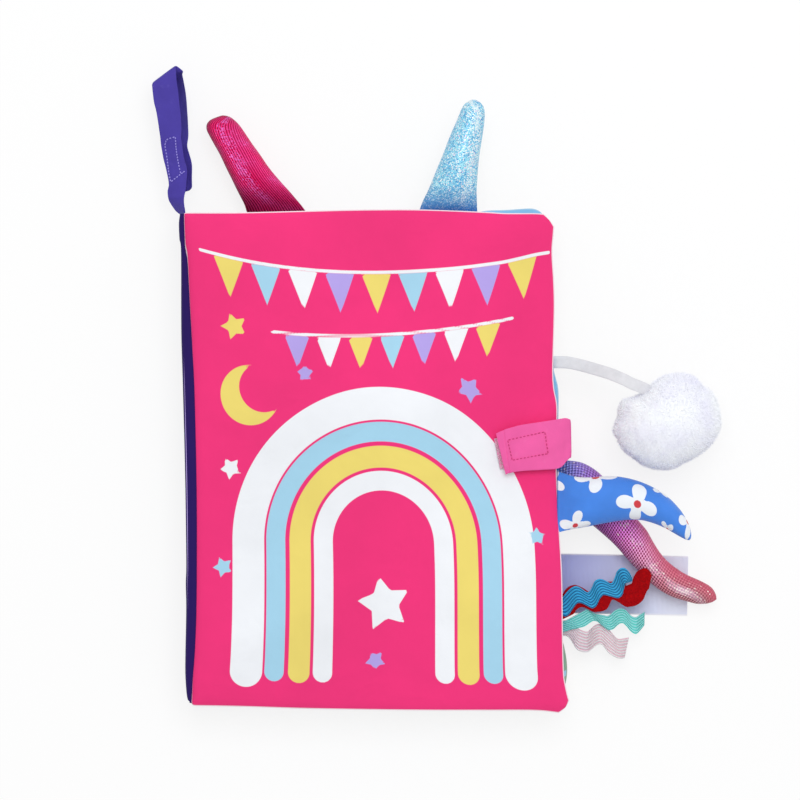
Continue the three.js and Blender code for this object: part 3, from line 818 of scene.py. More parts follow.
def waved(pitch):
    """Prints of wavy stripes across the page: broad ones, and narrow ones midway. The distance to
    a stripe's middle is told by a sine, which is 0 there and has no jumps."""
    def prints(x, y):
        phase = np.pi * (y + WAVE_HEIGHT * np.sin(x / WAVE_RUN)) / pitch
        return {"white_line": np.sin(phase) * pitch / np.pi,
                "blue_line": np.cos(phase) * pitch / np.pi}
    return prints


PRINT_WHITE = "#f7faff"
PRINT_INKS = {"blue_print": "#a9d9f2", "yellow_print": "#f3de74", "lilac_print": "#b9a6ee",
              "blue_line": "#a9d9f2"}


def printed(name, colour, labels, **more):
    """Printed cotton in a ground colour, with the print's inks laid on in order."""
    return cotton(name, colour, [(label, PRINT_INKS.get(label, PRINT_WHITE)) for label in labels],
                  **more)


# The boards' edges

# Each pair is a place along the edge and where the edge lies there. Corners are given by their
# sides, size and straightness.
ROUND_CORNERS = [(side_x, side_y, 5, 0) for side_x in (-1, 1) for side_y in (-1, 1)]
LEAF_LEFT = [(-115, -87.9), (0, -88.0), (115, -87.9)]
LEAF_TOP = [(-88, 115.6), (-30, 115.4), (30, 115.0), (60, 114.0), (86, 112.4)]
LEAF_BOTTOM = [(-88, -112.2), (-30, -114.2), (30, -115.8), (60, -116.8), (86, -117.6)]
LEAF_1_TOP = [
    (-88, 115.6), (-30, 115.4), (20, 115.2), (46, 115.2), (56, 116.4), (66, 116.6), (76, 117.1),
    (80, 116.4), (83, 114.4), (86, 112.2)]
COVER_LEFT = [
    (-115, -88.2), (-101.8, -87.5), (-87.7, -86.3), (-64.3, -85.2), (-17.4, -84.4), (29.6, -84.6),
    (53, -85.3), (71.8, -86), (88, -86.5), (96, -86.9), (101, -87.7), (111.7, -88), (116.9, -88)]
COVER_RIGHT = [
    (-116, 91.9), (-112, 91), (-107, 89.2), (-101, 87.9), (-95.2, 87.2), (-78.8, 87), (-55.3, 87.1),
    (-42, 86.8), (-31.8, 86.3), (-6, 85.4), (12, 85.6), (26.8, 86.1), (35, 84.8), (42, 84.4),
    (50.3, 84.7), (63, 85.3), (75, 85.7), (86, 85.5), (98, 85), (107, 85.8), (116, 86.6)]
COVER_TOP = [
    (-88, 117.7), (-61.4, 117.3), (-33.2, 117.5), (-5, 117.7), (23.1, 117.3), (51.3, 115.8), (62, 115),
    (70, 114.8), (78, 114.6), (86, 113.6)]
COVER_BOTTOM = [
    (-88, -114), (-65.1, -114.8), (-36.9, -116.2), (-8.8, -117.2), (19.3, -118), (47.5, -118.5),
    (68, -118.9), (78, -120), (86, -121.4)]


def leaf(name, right, **more):
    """A board like the leaves, apart from what is given."""
    return {"name": name, "flap": 3.5, "uneven": 0.14, "left": LEAF_LEFT, "right": right,
            "top": LEAF_TOP, "bottom": LEAF_BOTTOM, "corners": ROUND_CORNERS} | more


front_cover = leaf("front_cover", COVER_RIGHT, flap=-6, uneven=0.28, left=COVER_LEFT, top=COVER_TOP,
                   bottom=COVER_BOTTOM, corners=[(-1, 1, 1.6, 0), (-1, -1, 2.2, 0),
                                                 (1, 1, 5.4, 0.85), (1, -1, 7.0, 0.8)])
leaf_1 = leaf("leaf_1", [(-115, 86.0), (-60, 85.6), (-30, 85.3), (-5, 85.0), (11, 85.3), (19, 86.5),
                         (34, 86.9), (40, 85.7), (46, 84.6), (60, 84.2), (115, 84.2)],
              top=LEAF_1_TOP)
leaf_2 = leaf("leaf_2", [(-115, 86.4), (-92, 87.0), (-58, 86.9), (-40, 85.8), (0, 85.0), (40, 83.6),
                         (115, 83.8)])
leaf_3 = leaf("leaf_3", [(-115, 87.0), (-108, 87.8), (-100, 89.2), (-93, 89.0), (-86, 87.8),
                         (-78, 86.6), (-30, 86.6), (2, 86.4), (12, 85.4), (40, 83.8), (115, 83.8)])
leaf_4 = leaf("leaf_4", [(-115, 86.2), (-60, 86.2), (0, 85.4), (40, 83.6), (115, 83.9)])
back_cover = leaf("back_cover", [(-115, 87.0), (-60, 86.8), (0, 86.4), (20, 86.2), (45, 84.4),
                                 (115, 84.2)], flap=-3, left=[(-115, -87.3), (115, -87.2)])
BOARDS = [back_cover, leaf_4, leaf_3, leaf_2, leaf_1, front_cover]
for place, board in enumerate(BOARDS):
    board["level"] = LOWEST_LEVEL + BOARD_PITCH * place

PAGE_GRID, STAR_GRID, COVER_GRID = (96, 124), (132, 170), (172, 226)
FIRST_PANEL_SEED = 3
COVER_PAGE = (printed("hot_pink_cotton", "#f6307d", [
    "white_print", "blue_print", "yellow_print", "lilac_print", "string_print"]), cover_prints,
    "pink_cotton", COVER_GRID)
BACK_PAGE = (printed("dotted_pink_cotton", "#f6307d", ["white_print"]), dotted(26, 3),
             "pink_cotton", PAGE_GRID)
DOTS_PAGE = (printed("dotted_blue_cotton", "#86c1ea", ["white_print"], seam="#a9d2ee"),
             dotted(20, 4), "blue_cotton", PAGE_GRID)
RINGS_PAGE = (printed("ringed_lilac_cotton", "#b9a2e6", ["lilac_print", "ring_line", "other_line"],
                      seam="#f6f0ff"), ringed(34), "lilac_cotton", PAGE_GRID)
WAVES_PAGE = (printed("waved_mint_cotton", "#94b8a0", ["white_line", "blue_line"], seam="#a3b3a2"),
              waved(40), "mint_cotton", PAGE_GRID)
STARS_PAGE = (printed("starry_yellow_cotton", "#f3df72", ["white_print", "yellow_print"],
                      seam="#fff8dc"), starry(31, 9), "yellow_cotton", STAR_GRID)
FACING_PAGES = [DOTS_PAGE, RINGS_PAGE, WAVES_PAGE, STARS_PAGE, RINGS_PAGE]
PAGES = [COVER_PAGE, *(page for page in FACING_PAGES for _ in range(2)), BACK_PAGE]
FACES = ["outer", "inner"] + 4 * ["front", "back"] + ["inner", "outer"]
# Two panels to a board, from the front cover's outer face down to the back cover's.
for place, (page, face) in enumerate(zip(PAGES, FACES)):
    panel(BOARDS[-1 - place // 2], face, 1 - 2 * (place % 2), page, FIRST_PANEL_SEED + place)
for seed, board in enumerate(BOARDS):
    filling(board, seed)

# The spine

# An indigo cotton strip, lined with lilac, that wraps the six boards' hinge seams. It is one strip, shown
# as a lower and an upper half, one at each cover. Its profile is a share from the cover's edge, at 0, to
# the spine's outline, at 1, with a height.
SPINE_PROFILE = [
    (-0.2, 2), (0.05, 1.2), (0.5, 1), (0.85, 2.2), (0.98, 5.2), (1, 9), (1, 13.6), (1, 18.2), (0.98, 22),
    (0.85, 24.9), (0.5, 26.1), (0.05, 26), (-0.2, 25.2)]
LINING_PROFILE = [(0.6, 1.6), (0.6, 7), (0.6, 13.6), (0.6, 20.2), (0.6, 25.4)]
SPINE_OUTLINE = [
    (-112.6, -88.4), (-110.5, -90), (-102, -90.7), (-92.6, -90.7), (-69, -89.9), (-56.9, -89.9),
    (-45.6, -89.5), (-5.5, -89.4), (37.4, -89.8), (62.6, -90.1), (99, -89.6), (105, -90.2),
    (112.4, -90.4), (117, -89.8)]
SPINE_ROWS, SPINE_COLUMNS = 170, 81
SPINE_FOOT, SPINE_HEAD = -112.6, 117.0
SPINE_PRINT_PITCH, SPINE_PRINT_LEVEL, SPINE_DOT, SPINE_STAR = 26, 19, 2.4, 4.4
SPINE_HALVES = [
    ("lower", slice(0, 41), ("back_cover", "spine", (-0.0862, 0, 0.0016), (-0.0904, 0, 0.0062))),
    ("upper", slice(40, 81), ("spine", "front_cover", (-0.0904, 0, 0.0210), (-0.0862, 0, 0.0256)))]


def spine_cloth(name, profile, edge, thickness, part, finish):
    """A strip of the spine: its profile, carried along Y. The wall lies inwards of it by the
    cloth's thickness, square to the profile. A print of stars and dots runs along it."""
    line = smooth(profile, SPINE_COLUMNS)
    y = np.linspace(SPINE_FOOT, SPINE_HEAD, SPINE_ROWS)[:, None]
    near, far = along_edge(edge, y), along_edge(SPINE_OUTLINE, y)
    x = near + (far - near) * line[None, :, 0]
    z = np.broadcast_to(line[None, :, 1], x.shape)
    outwards = unit(grid(-np.gradient(z, axis=1), 0.0, np.gradient(x, axis=1)))[:, part]
    outer = grid(x, y, z)[:, part]
    up = z[:, part] - SPINE_PRINT_LEVEL
    half = SPINE_PRINT_PITCH / 2
    marks = {"seam": np.zeros(up.shape),
             "yellow_print": np.hypot((y + half) % SPINE_PRINT_PITCH - half, up) - SPINE_DOT,
             "blue_print": star(up, y % SPINE_PRINT_PITCH - half, SPINE_STAR)}
    return slab(name, outer, outer - thickness * outwards, finish, marks)


indigo = cotton("indigo_cotton", "#29165f", [("yellow_print", "#e8d25e"),
                                             ("blue_print", "#59c6ea")], "#29165f",
                sheen=0.03, specular=0.12)
lining = cotton("lilac_lining_cotton", "#b9a2e6", seam="#f6f0ff")
SPINE_LAYERS = [
    ("cloth", SPINE_PROFILE, front_cover, 0.7, indigo, "spine_outer_panel", "indigo_cotton"),
    ("lining", LINING_PROFILE, back_cover, 0.3, lining, "spine_lining", "lilac_cotton")]
for layer, profile, upper_board, thickness, finish, node, slot in SPINE_LAYERS:
    for half, part, bend in SPINE_HALVES:
        edge = (back_cover if half == "lower" else upper_board)["left"]
        made = spine_cloth(f"spine_{half}_{layer}", profile, edge, thickness, part, finish)
        placed(made, bend, node)

# The stuffed horns and tails

# Sewn tubes of cloth, filled with fibre and pinched flat where the page's seam holds them. The two
# horns are short, firm and in the top edge, and the two tails are longer and in the fore edge. Each
# row of a table is two places across from each other on a limb's outline, with the half height
# there.
LIMB_CLOTH, LIMB_PLAY = 0.4, 0.3
LEAST_HALF_HEIGHT, LEAST_HALF_WIDTH = 0.5, 0.2
LIMB_FOLDS, LIMB_LUMPS = 9, 0.25
RIBBED_EDGES = [
    (-57.8, 114.9, -29.6, 114.7, 0.5), (-58.4, 117, -29.9, 116.5, 0.9), (-59.7, 121.4, -32.4, 120.2, 2.6),
    (-61.5, 125.2, -35.3, 123.8, 4.8), (-63.4, 129, -38.7, 127.9, 7.2), (-65.7, 134, -43.1, 132.9, 9),
    (-68.2, 139.2, -47.9, 138.9, 9.9), (-70.9, 145.2, -52, 145.1, 10.2),
    (-73.7, 150.4, -55.7, 150.4, 9.9), (-75.7, 154.2, -58.5, 154.7, 9.3), (-77, 157.1, -61, 158.5, 8.4),
    (-77, 159.5, -63.1, 160.9, 7), (-75.6, 161.5, -65.4, 162.8, 5), (-73, 162.8, -67.3, 163.6, 2.8),
    (-70.6, 163.6, -69.2, 163.9, 0.9)]
GLITTER_EDGES = [
    (50.2, 114.5, 22.2, 114.7, 0.5), (50.1, 116, 22.6, 116.4, 1), (50, 120.6, 24.6, 121.5, 3.2),
    (50, 126.2, 27.5, 127.3, 6), (50.6, 134.2, 31, 135.5, 8.6), (51.5, 142.2, 34.4, 143.4, 9.4),
    (52.9, 150.4, 37.8, 151.8, 9), (54.1, 157.9, 41.2, 159.3, 7.6), (54.4, 162.4, 43.2, 164, 6.4),
    (53.8, 165.4, 44.6, 166.3, 4.9), (52.4, 167.3, 46.3, 167.8, 3.2), (50.3, 168.6, 48.2, 168.7, 1)]
FLOWER_EDGES = [
    (85.4, -6.7, 84.9, -35.3, 0.5), (86.8, -6.9, 86.3, -35.2, 1), (89.7, -8, 89.2, -34.5, 2.8),
    (94.8, -9.4, 93.9, -33.7, 5.4), (100.9, -9.8, 99.6, -32.8, 7.4), (107.5, -9.3, 105.2, -31.8, 8.3),
    (115, -9.7, 111.8, -30.7, 8.5), (122.9, -11.6, 118.4, -30, 8.5), (130.9, -15.1, 124.5, -30.2, 8),
    (137.8, -20, 130.1, -31.7, 7.2), (142.9, -25.5, 135.3, -33.9, 6), (145.9, -30.3, 139.4, -36.3, 4.6),
    (147.5, -34.3, 142.9, -38.4, 3.2), (148, -37.3, 145.5, -39.7, 1.8), (147.8, -39.2, 147, -40, 0.6)]
SCALE_EDGES = [
    (85.2, -2.5, 84.9, -27.2, 0.5), (86.5, -2.1, 86, -27, 1), (89, -1.9, 87.6, -26.9, 2.4),
    (92.7, -2, 90.4, -26.9, 4.8), (98.4, -3.2, 93.8, -27.4, 6.4), (104.5, -6.8, 98, -29.5, 7),
    (110.1, -12.4, 102, -32.4, 7.1), (115.2, -19, 106.4, -36.2, 7.1), (120, -25.6, 111.1, -40.5, 7),
    (124.8, -31.5, 114.6, -44.2, 6.8), (128.2, -35.8, 117.6, -47.8, 6.4), (130.8, -40.6, 121.2, -52, 6),
    (133.8, -45.6, 125.4, -56.4, 5.6), (137, -49.6, 130.1, -61, 5.3), (141.2, -53.3, 134.8, -64.6, 5.1),
    (146.6, -56.8, 139.8, -67.3, 5.1), (153, -59.8, 145.9, -69.3, 5), (158, -62.8, 151, -70.7, 4.2),
    (160.2, -66.2, 155.4, -70.8, 2.8), (160.6, -68.7, 158.4, -70.1, 0.9)]


def limb_rings(limb, inset, rows=84, sides=72):
    """Rings of a stuffed limb, with each point's distance round from its first edge and along from
    the root. Each ring is an ellipse between two places on the limb's outline, with a half height.
    Near the pinched root it puckers into folds, and further on it is a little lumpy."""
    table = smooth(limb["edges"], rows)
    one, other = grid(table[:, 0], table[:, 1], 0.0), grid(table[:, 2], table[:, 3], 0.0)
    half_height = np.maximum(table[:, 4], LEAST_HALF_HEIGHT) - inset
    root_level, level = limb["levels"]
    middles = (one + other) / 2
    middles[:, 2] += root_level + (level - root_level) * eased(np.linspace(0, 1, rows), 0, 0.3)
    half_width = np.linalg.norm(one - other, axis=1) / 2 - inset
    half_width = np.maximum(half_width, LEAST_HALF_WIDTH)
    across = unit(one - other)
    angle = 2 * np.pi * np.arange(sides) / sides
    travel = travelled(middles)[:, None]
    folds = np.cos(LIMB_FOLDS * angle + 0.8) * np.abs(np.sin(angle)) ** 0.5
    fade = eased(travel, 1, 6) * (1 - eased(travel, 8, 26))
    lumps = ripples(angle[None, :] * 7, travel, 31, 24, 7) * eased(travel, 4, 16)
    unevenness = limb["pucker"] * folds * fade + LIMB_LUMPS * lumps
    swell = 1 + unevenness / (half_height[:, None] + 3)
    rings = middles[:, None] + spread(across, half_width[:, None] * np.cos(angle))
    rings[..., 2] += half_height[:, None] * swell * np.sin(angle)
    steps = np.linalg.norm(np.roll(rings, -1, axis=1) - rings, axis=-1)
    round_from = np.concatenate([np.zeros((rows, 1)), np.cumsum(steps, axis=1)[:, :-1]], axis=1)
    whole = steps.sum(axis=1, keepdims=True)
    return rings, grid(np.minimum(round_from, whole - round_from), travel)


def stuffed(name, limb, finish, prints=None):
    """A limb's cloth, with its wall turned in at the root, and the fibre that fills it. A limb whose root
    lies at another level drops to its own level over the first part of its length."""
    outer, outer_texture = limb_rings(limb, 0)
    inner, inner_texture = limb_rings(limb, LIMB_CLOTH)
    rings = np.concatenate([inner[:-2][::-4], outer])
    texture = np.concatenate([inner_texture[:-2][::-4], outer_texture])
    marks = {"cloth": texture} | (prints(texture) if prints else {})
    cloth = tube(name + "_cloth", rings, finish, marks)
    fibre = tube(name + "_fibre", limb_rings(limb, LIMB_CLOTH + LIMB_PLAY, 60, 40)[0][4:-8],
                 wadding.finish)
    placed(cloth, limb["body"], name + "_shell")
    placed(fibre, limb["body"], name + "_filling")


def ribbed_foil():
    """Magenta foil cloth with fine ribs along it, with painted shade, nearly black, between the ribs.
    Painted shade darkens it along its first edge and at the root, and a haze of small bright flecks,
    painted glints, crowds into a painted highlight band part way across."""
    cloth = Cloth("ribbed_magenta_foil", "#e2175f", 0.36, metallic=0.25, specular=0.02)
    rib = cloth.across.sine(0.00132)
    cloud = cloth.noise(75, 2)
    ground = cloud.between(0.35, 0.65).mix("#ff2674", "#ff489c")
    # Painted shade: the grooves between the ribs are nearly black.
    now = rib.between(-0.95, 0.1).mix("#a8083e", ground)
    # Painted shade along the first edge and at the root.
    edge = cloth.across.between(0.001, 0.009, 0.45, 1)
    now = toned(now, edge * cloth.along.between(0.001, 0.018, 0.4, 1))
    # Painted glints: bright flecks, thickest in a painted highlight band part way across, and few at the
    # root.
    red, green, blue = cloth.cells(2100)
    painted_highlight_bias = abs(cloth.across - 0.0122).between(0.0045, 0, 0, 0.5) + cloud.between(0.5, 0.7, 0, 0.2)
    painted_glints = (red + painted_highlight_bias).between(1.02, 1.15, 0, 0.85) * cloth.along.between(0.006, 0.018)
    cloth.paint(painted_glints.mix(now, "#ff7ad8"))
    cloth.set("Roughness", green.between(0, 1, 0.25, 0.5))
    cloth.relief(blue, 0.00008)
    cloth.relief(rib, 0.00022)
    return cloth.finish


def glitter_foil():
    """Pale blue glitter cloth: each small grain tilts its own way, and some are silver or deeper blue.
    Painted glints, white or tinted, lie on single grains, most of all in a painted highlight streak along
    one side, which also has a pale painted glow. Painted shade makes it deeper blue at the root, where
    the glints thin out."""
    cloth = Cloth("blue_glitter_cloth", "#7cc0e6", 0.4, metallic=0.1, specular=0.4)
    red, green, blue = cloth.cells(2300)
    cloud = cloth.noise(100, 3)
    now = cloud.between(0.35, 0.65).mix("#64bcea", "#92def6")
    now = red.between(0.5, 0.9, 0, 0.9).mix(now, "#b4f0fb")
    now = red.between(0.28, 0.1, 0, 0.85).mix(now, "#3a86c8")
    # Painted glints: most are white, a few pink.
    tint = green.between(0.86, 0.95).mix("#f4fdff", "#ffd9f2")
    # A painted highlight streak along one side, with a pale painted glow in it.
    painted_highlight_streak = abs(cloth.across - 0.0075)
    painted_highlight_bias = painted_highlight_streak.between(0.004, 0, 0, 0.3) + cloud * 0.3
    painted_highlight_glow = painted_highlight_streak.between(0.002, 0, 0, 0.75) * cloud.between(0.4, 0.6)
    # Painted shade at the root: deeper blue, with few glints.
    painted_root_shade = cloth.along.between(0.003, 0.015)
    painted_glints = (blue + painted_highlight_bias).between(0.97, 1.02) * painted_root_shade.between(0, 1, 0.15, 1)
    now = painted_root_shade.mix("#3f78bd", painted_highlight_glow.mix(now, "#dff8ff"))
    cloth.paint(painted_glints.mix(now, tint))
    cloth.set("Roughness", green.between(0, 1, 0.2, 0.55))
    cloth.relief(red, 0.00016)
    return cloth.finish


# The flowers on the flower tail: how far round and along each is, its radius and its turn.
FLOWERS = [(1.5, 17.5, 9.6, 0.0), (15, 37.9, 10.4, -0.1), (25.5, 8.8, 7.6, 0.2),
           (1.0, 62.5, 6.8, 0.6), (0.6, 45, 4.6, 0.4), (15.6, 58, 5, 0.2), (5, -3, 7, 0.4)]


def flower_prints(texture):
    """Flowers on the cloth: the petals' edge is a radius times a power of the cosine of twice the
    angle, so there are four, which meet in a small disc, and the middle is a dot."""
    petals, middles = [], []
    for across, along, radius, turn in FLOWERS:
        dx, dy = texture[..., 0] - across, texture[..., 1] - along
        folded = np.abs(np.cos(2 * (np.arctan2(dy, dx) + turn)))
        edge = radius * (0.14 + 0.86 * folded**0.85)
        petals.append(np.hypot(dx, dy) - np.maximum(edge, 0.3 * radius))
        middles.append(np.hypot(dx, dy) - 0.18 * radius)
    return {"petal_print": nearest(petals), "middle_print": nearest(middles)}


def flowered_satin():
    """Blue satin cotton with white flowers whose middles are red, and a painted shadow as a darker line
    at the seam.
    """
    cloth = Cloth("flowered_blue_satin", "#3d86ea", 0.5, sheen=0.15, specular=0.4)
    now = toned("#3d86ea", cloth.cloudy(55, 0.9, 1.06))
    for label, shape_ink in (("petal_print", "#f3f8ff"), ("middle_print", "#d2303c")):
        now = cloth.attribute(label).between(0.15, -0.15).mix(now, shape_ink)
    # Painted shadow: a darker line along the root, where the tail meets the cover.
    cloth.paint(cloth.along.between(0.0009, 0).mix(now, "#1c3f8e"))
    cloth.relief(cloth.noise(120, 2), 0.0007)
    cloth.relief(cloth.weave(0.0005), 0.00004)
    return cloth.finish


NET_SHARES = (0.0, 0.2, 0.4, 0.55, 0.72, 1.0)
NET_BRIGHT = ("#86aeff", "#c482e2", "#ff8cee", "#ffb0dc", "#e68fa2", "#c68f93")
NET_DARK = ("#2c4aa4", "#5a0e62", "#66063e", "#86164c", "#782236", "#5e3640")


def netted_foil():
    """Foil cloth with a close net of raised dots between dark lines. Its colour turns from pale blue at
    the root, through violet and pink, to a dusty rose at the tip. It is coral along its upper edge, with
    a painted highlight streak beside that, and dark at its lower edge. Single dots carry painted glints."""
    cloth = Cloth("purple_to_coral_foil", "#c8459c", 0.34, metallic=0.2, specular=0.12)
    across, along = cloth.across, cloth.along
    run = along.between(0, 0.1)
    dot = (across + along).sine(0.0026) * (across - along).sine(0.0026)
    share = dot.between(-0.35, 0.2).calc("MAXIMUM", across.between(0.002, 0.011, 0.45, 0))
    share = share * across.between(0.014, 0.022, 1, 0.55)
    now = share.mix(run.ramp(NET_SHARES, NET_DARK), run.ramp(NET_SHARES, NET_BRIGHT))
    coral = across.between(0.0095, 0.003, 0, 0.7) * along.between(0.03, 0.05)
    now = coral.mix(now, "#d8506e")
    # A painted highlight streak beside the coral edge.
    lit = cloth.noise(70, 2).between(0.4, 0.65)
    painted_highlight_streak = abs(across - 0.0105).between(0.0028, 0.0005) * lit
    now = (painted_highlight_streak * 0.6).mix(now, "#ffd0f0")
    # Painted glints on single dots, more of them in the streak.
    red, green = cloth.cells(1900)[:2]
    painted_glints = (red + painted_highlight_streak * 0.45).calc("GREATER_THAN", 0.985) * dot.between(-0.2, 0.2, 0.3, 0.9)
    cloth.paint(painted_glints.mix(now, "#fff0ea"))
    cloth.relief(green, 0.0001)
    cloth.relief(dot, 0.00016)
    return cloth.finish


# The left horn is ribbed magenta foil cloth on the third leaf, and the right one is pale blue
# glitter cloth on the first. The upper tail is blue satin cotton with white flowers, sewn to the
# front cover, and it curls down. The lower one is foil cloth with a fine net of dots, sewn to the
# third leaf, and runs down and out under the first.
RIBBED_HORN = {"levels": (11.3, 11.3), "pucker": 0.5, "edges": RIBBED_EDGES, "body": (
    "leaf_3", "ribbed_horn", (-0.0437, 0.1150, 0.0113), (-0.0437, 0.1200, 0.0113))}
GLITTER_HORN = {"levels": (20.5, 20.5), "pucker": 0.5, "edges": GLITTER_EDGES, "body": (
    "leaf_1", "glitter_horn", (0.0362, 0.1150, 0.0205), (0.0362, 0.1200, 0.0205))}
FLOWER_TAIL = {"levels": (25.1, 25.1), "pucker": 0.3, "edges": FLOWER_EDGES, "body": (
    "front_cover", "flower_tail", (0.0860, -0.0210, 0.0251), (0.0905, -0.0210, 0.0251))}
SCALE_TAIL = {"levels": (11.3, 8.9), "pucker": 0.3, "edges": SCALE_EDGES, "body": "leaf_3"}
stuffed("ribbed_horn", RIBBED_HORN, ribbed_foil())
stuffed("glitter_horn", GLITTER_HORN, glitter_foil())
stuffed("flower_tail", FLOWER_TAIL, flowered_satin(), flower_prints)
stuffed("scale_tail", SCALE_TAIL, netted_foil())

# The wavy trims

# Three lengths of woven rick-rack braid and a wavy strip of red felt, sewn side by side into the
# second leaf's fore edge. Each braid has fine cords that follow its waves. Each row of a table is
# two places across from each other on a trim's edges, with their level.
TRIM_THICKNESS = 1.0
BLUE_EDGES = [
    (85.1, -69.1, 84.6, -77.1, 17.2), (86.9, -67, 87.1, -75, 17.2), (88.4, -65, 88.9, -75.3, 17.2),
    (89.9, -63.3, 90.6, -74.1, 17.2), (91.7, -61.7, 92.3, -71.6, 17.2), (93.7, -61, 94.3, -69.2, 17.2),
    (95.7, -61.7, 96.6, -69.3, 17.1), (98.9, -63.9, 100.6, -71.4, 17.1), (100.1, -63.6, 102, -71.5, 17),
    (101.4, -61.5, 103.5, -70.3, 17), (102.7, -58.8, 105, -67.3, 17), (104.9, -57.8, 106.8, -65.5, 16.9),
    (107.1, -58.3, 109.3, -66, 16.8), (109.9, -59.8, 112.9, -67, 16.7),
    (111.2, -59.2, 114.5, -66.7, 16.7), (112.3, -56.9, 115.8, -65.3, 16.6),
    (113.3, -54.4, 116.4, -63, 16.6), (114.9, -52.9, 116.7, -61.3, 17.6),
    (116.9, -52.8, 116.8, -60.6, 18.2), (118.6, -54.3, 116.9, -60.3, 18),
    (119.9, -56.5, 117, -60.1, 17.4), (120.5, -58.7, 117, -59.9, 16.6), (120.1, -60.3, 117.3, -61.3, 16)]
FELT_EDGES = [
    (84.8, -67, 84.6, -77.5, 15.9), (87, -65.6, 86.8, -77, 15.9), (88.5, -63.1, 88.6, -76.1, 15.9),
    (90.3, -61.4, 90.8, -75.1, 15.9), (92.1, -60.7, 92.8, -74, 15.9), (93.9, -60.6, 94.1, -72.1, 15.9),
    (97.5, -62.2, 97, -71.1, 15.8), (101.1, -64.8, 101.7, -73.3, 15.8),
    (102.9, -64.1, 104.2, -73.4, 15.7), (105.1, -61.6, 106.7, -73, 15.7),
    (106.9, -59.8, 108.5, -71.9, 15.7), (109.5, -59.2, 109.8, -69.6, 15.6),
    (111.6, -59.4, 110.8, -67.9, 15.6), (113.8, -59.9, 112.6, -68.3, 15.5),
    (118.1, -60.7, 116.9, -71.1, 15.4), (119.9, -59.7, 119, -71.3, 15.3),
    (121.4, -56.8, 121.6, -70.9, 15.3), (122.9, -54.6, 123.7, -69.8, 15.3),
    (124.7, -53.6, 125.6, -68, 15.4), (126.5, -53.2, 126.5, -65.9, 15.5),
    (128.3, -54.1, 127.3, -64.1, 15.6), (129.7, -56.6, 128.4, -62.7, 15.6)]
MINT_EDGES = [
    (84.7, -77.7, 84.6, -83.7, 14.6), (88.3, -77.4, 91.5, -81.6, 14.6), (92.7, -75.3, 97.3, -80.4, 14.3),
    (97, -73.1, 100.4, -78.5, 14.1), (98.9, -72.2, 102, -77.8, 13.9), (100.6, -73.1, 103.8, -78.2, 13.8),
    (102.4, -74.2, 105.2, -79.3, 13.6), (106.8, -75.1, 108.5, -81.8, 13.1),
    (108.6, -75.5, 109.9, -82.2, 12.9), (110.2, -74.7, 111.5, -81.7, 12.7),
    (111.8, -73.2, 113.2, -80.2, 12.4), (113.7, -72.3, 114.6, -79.3, 12.1),
    (115.7, -72.1, 116.1, -79.3, 11.8), (117.4, -72.9, 117.7, -80.8, 11.5),
    (118.9, -74.7, 119.1, -82.6, 11.2), (120.5, -76, 120.7, -84, 10.9),
    (122.3, -76.4, 122.3, -84.4, 10.5), (124.1, -75.3, 124, -83, 10.1), (126.4, -74, 126.2, -80.4, 9.5)]
PINK_EDGES = [
    (84.7, -77.8, 84.6, -85, 13.3), (86.9, -77.5, 86.8, -84.7, 13.3), (88.7, -77.3, 88.8, -84.7, 13.3),
    (90.5, -77.6, 90.2, -85.5, 13.2), (92.3, -78.5, 91.6, -87.3, 13.1), (93.7, -79.8, 93, -89.9, 13.1),
    (95.1, -81.4, 94.8, -91.8, 12.9), (98.6, -82.8, 98.4, -92.6, 12.6),
    (100.2, -81.9, 100.4, -91.7, 12.4), (101.9, -80.4, 102.6, -89.9, 12.1),
    (103.9, -79.3, 104.6, -89, 11.8), (105.8, -79.6, 106.2, -89.5, 11.5),
    (107.8, -80.7, 107.8, -91.6, 11.2), (109.6, -82.3, 109.4, -93.6, 10.9),
    (112.4, -85.7, 113, -95.7, 10.2), (114, -86.6, 114.6, -96, 9.8), (116.4, -86.4, 115.7, -96, 9.4),
    (118.8, -86, 116.6, -95.7, 8.9)]


def braid(name, low, high, pitch, pale_from):
    """Woven braid: round cords side by side, with slanted threads over them, with painted shade between
    the cords and a painted highlight on them. Past a length along it, it has turned over and shows its
    pale back."""
    cloth = Cloth(name, high, 0.75, sheen=0.1, specular=0.12)
    cord = cloth.across.sine(pitch)
    slant = (cloth.along + cloth.across * 1.6).sine(0.0007)
    # Painted shade between the cords, in the low ink, and painted highlight on them, in the high ink.
    now = toned(cord.between(-0.95, 0).mix(low, high), slant.between(-1, 1, 0.93, 1.03))
    cloth.paint(cloth.along.between(pale_from, pale_from + 0.0002).mix(now, "#d0cdf2"))
    cloth.relief(slant, 0.00006)
    cloth.relief(cord, 0.00022)
    return cloth.finish


def felt(name, low, high):
    """Pressed felt: a matted, mottled surface with no threads."""
    cloth = Cloth(name, high, 0.95, False, sheen=0.02, sheen_roughness=0.6, specular=0.03)
    mat = cloth.noise(900, 6, 1.5)
    cloth.paint(mat.between(0.3, 0.7).mix(low, high))
    cloth.relief(mat, 0.0004)
    return cloth.finish


def trim(name, edges, low, high, cords=0, pale_end=-10):
    """One wavy trim: felt if it has no cords, and else a braid whose last stretch may be pale."""
    line, across, half = ruled(np.array(edges)[:, [0, 1, 4, 2, 3, 4]], 130)
    if cords:
        finish = braid(name + "_braid", low, high, 2 * half.mean() / cords * MM,
                       (travelled(line)[-1] - pale_end) * MM)
    else:
        finish = felt("red_felt", low, high)
    made = band(name + "_trim", line, across, half, TRIM_THICKNESS, finish, columns=29,
                round_off=6)
    placed(made, "leaf_2", name)


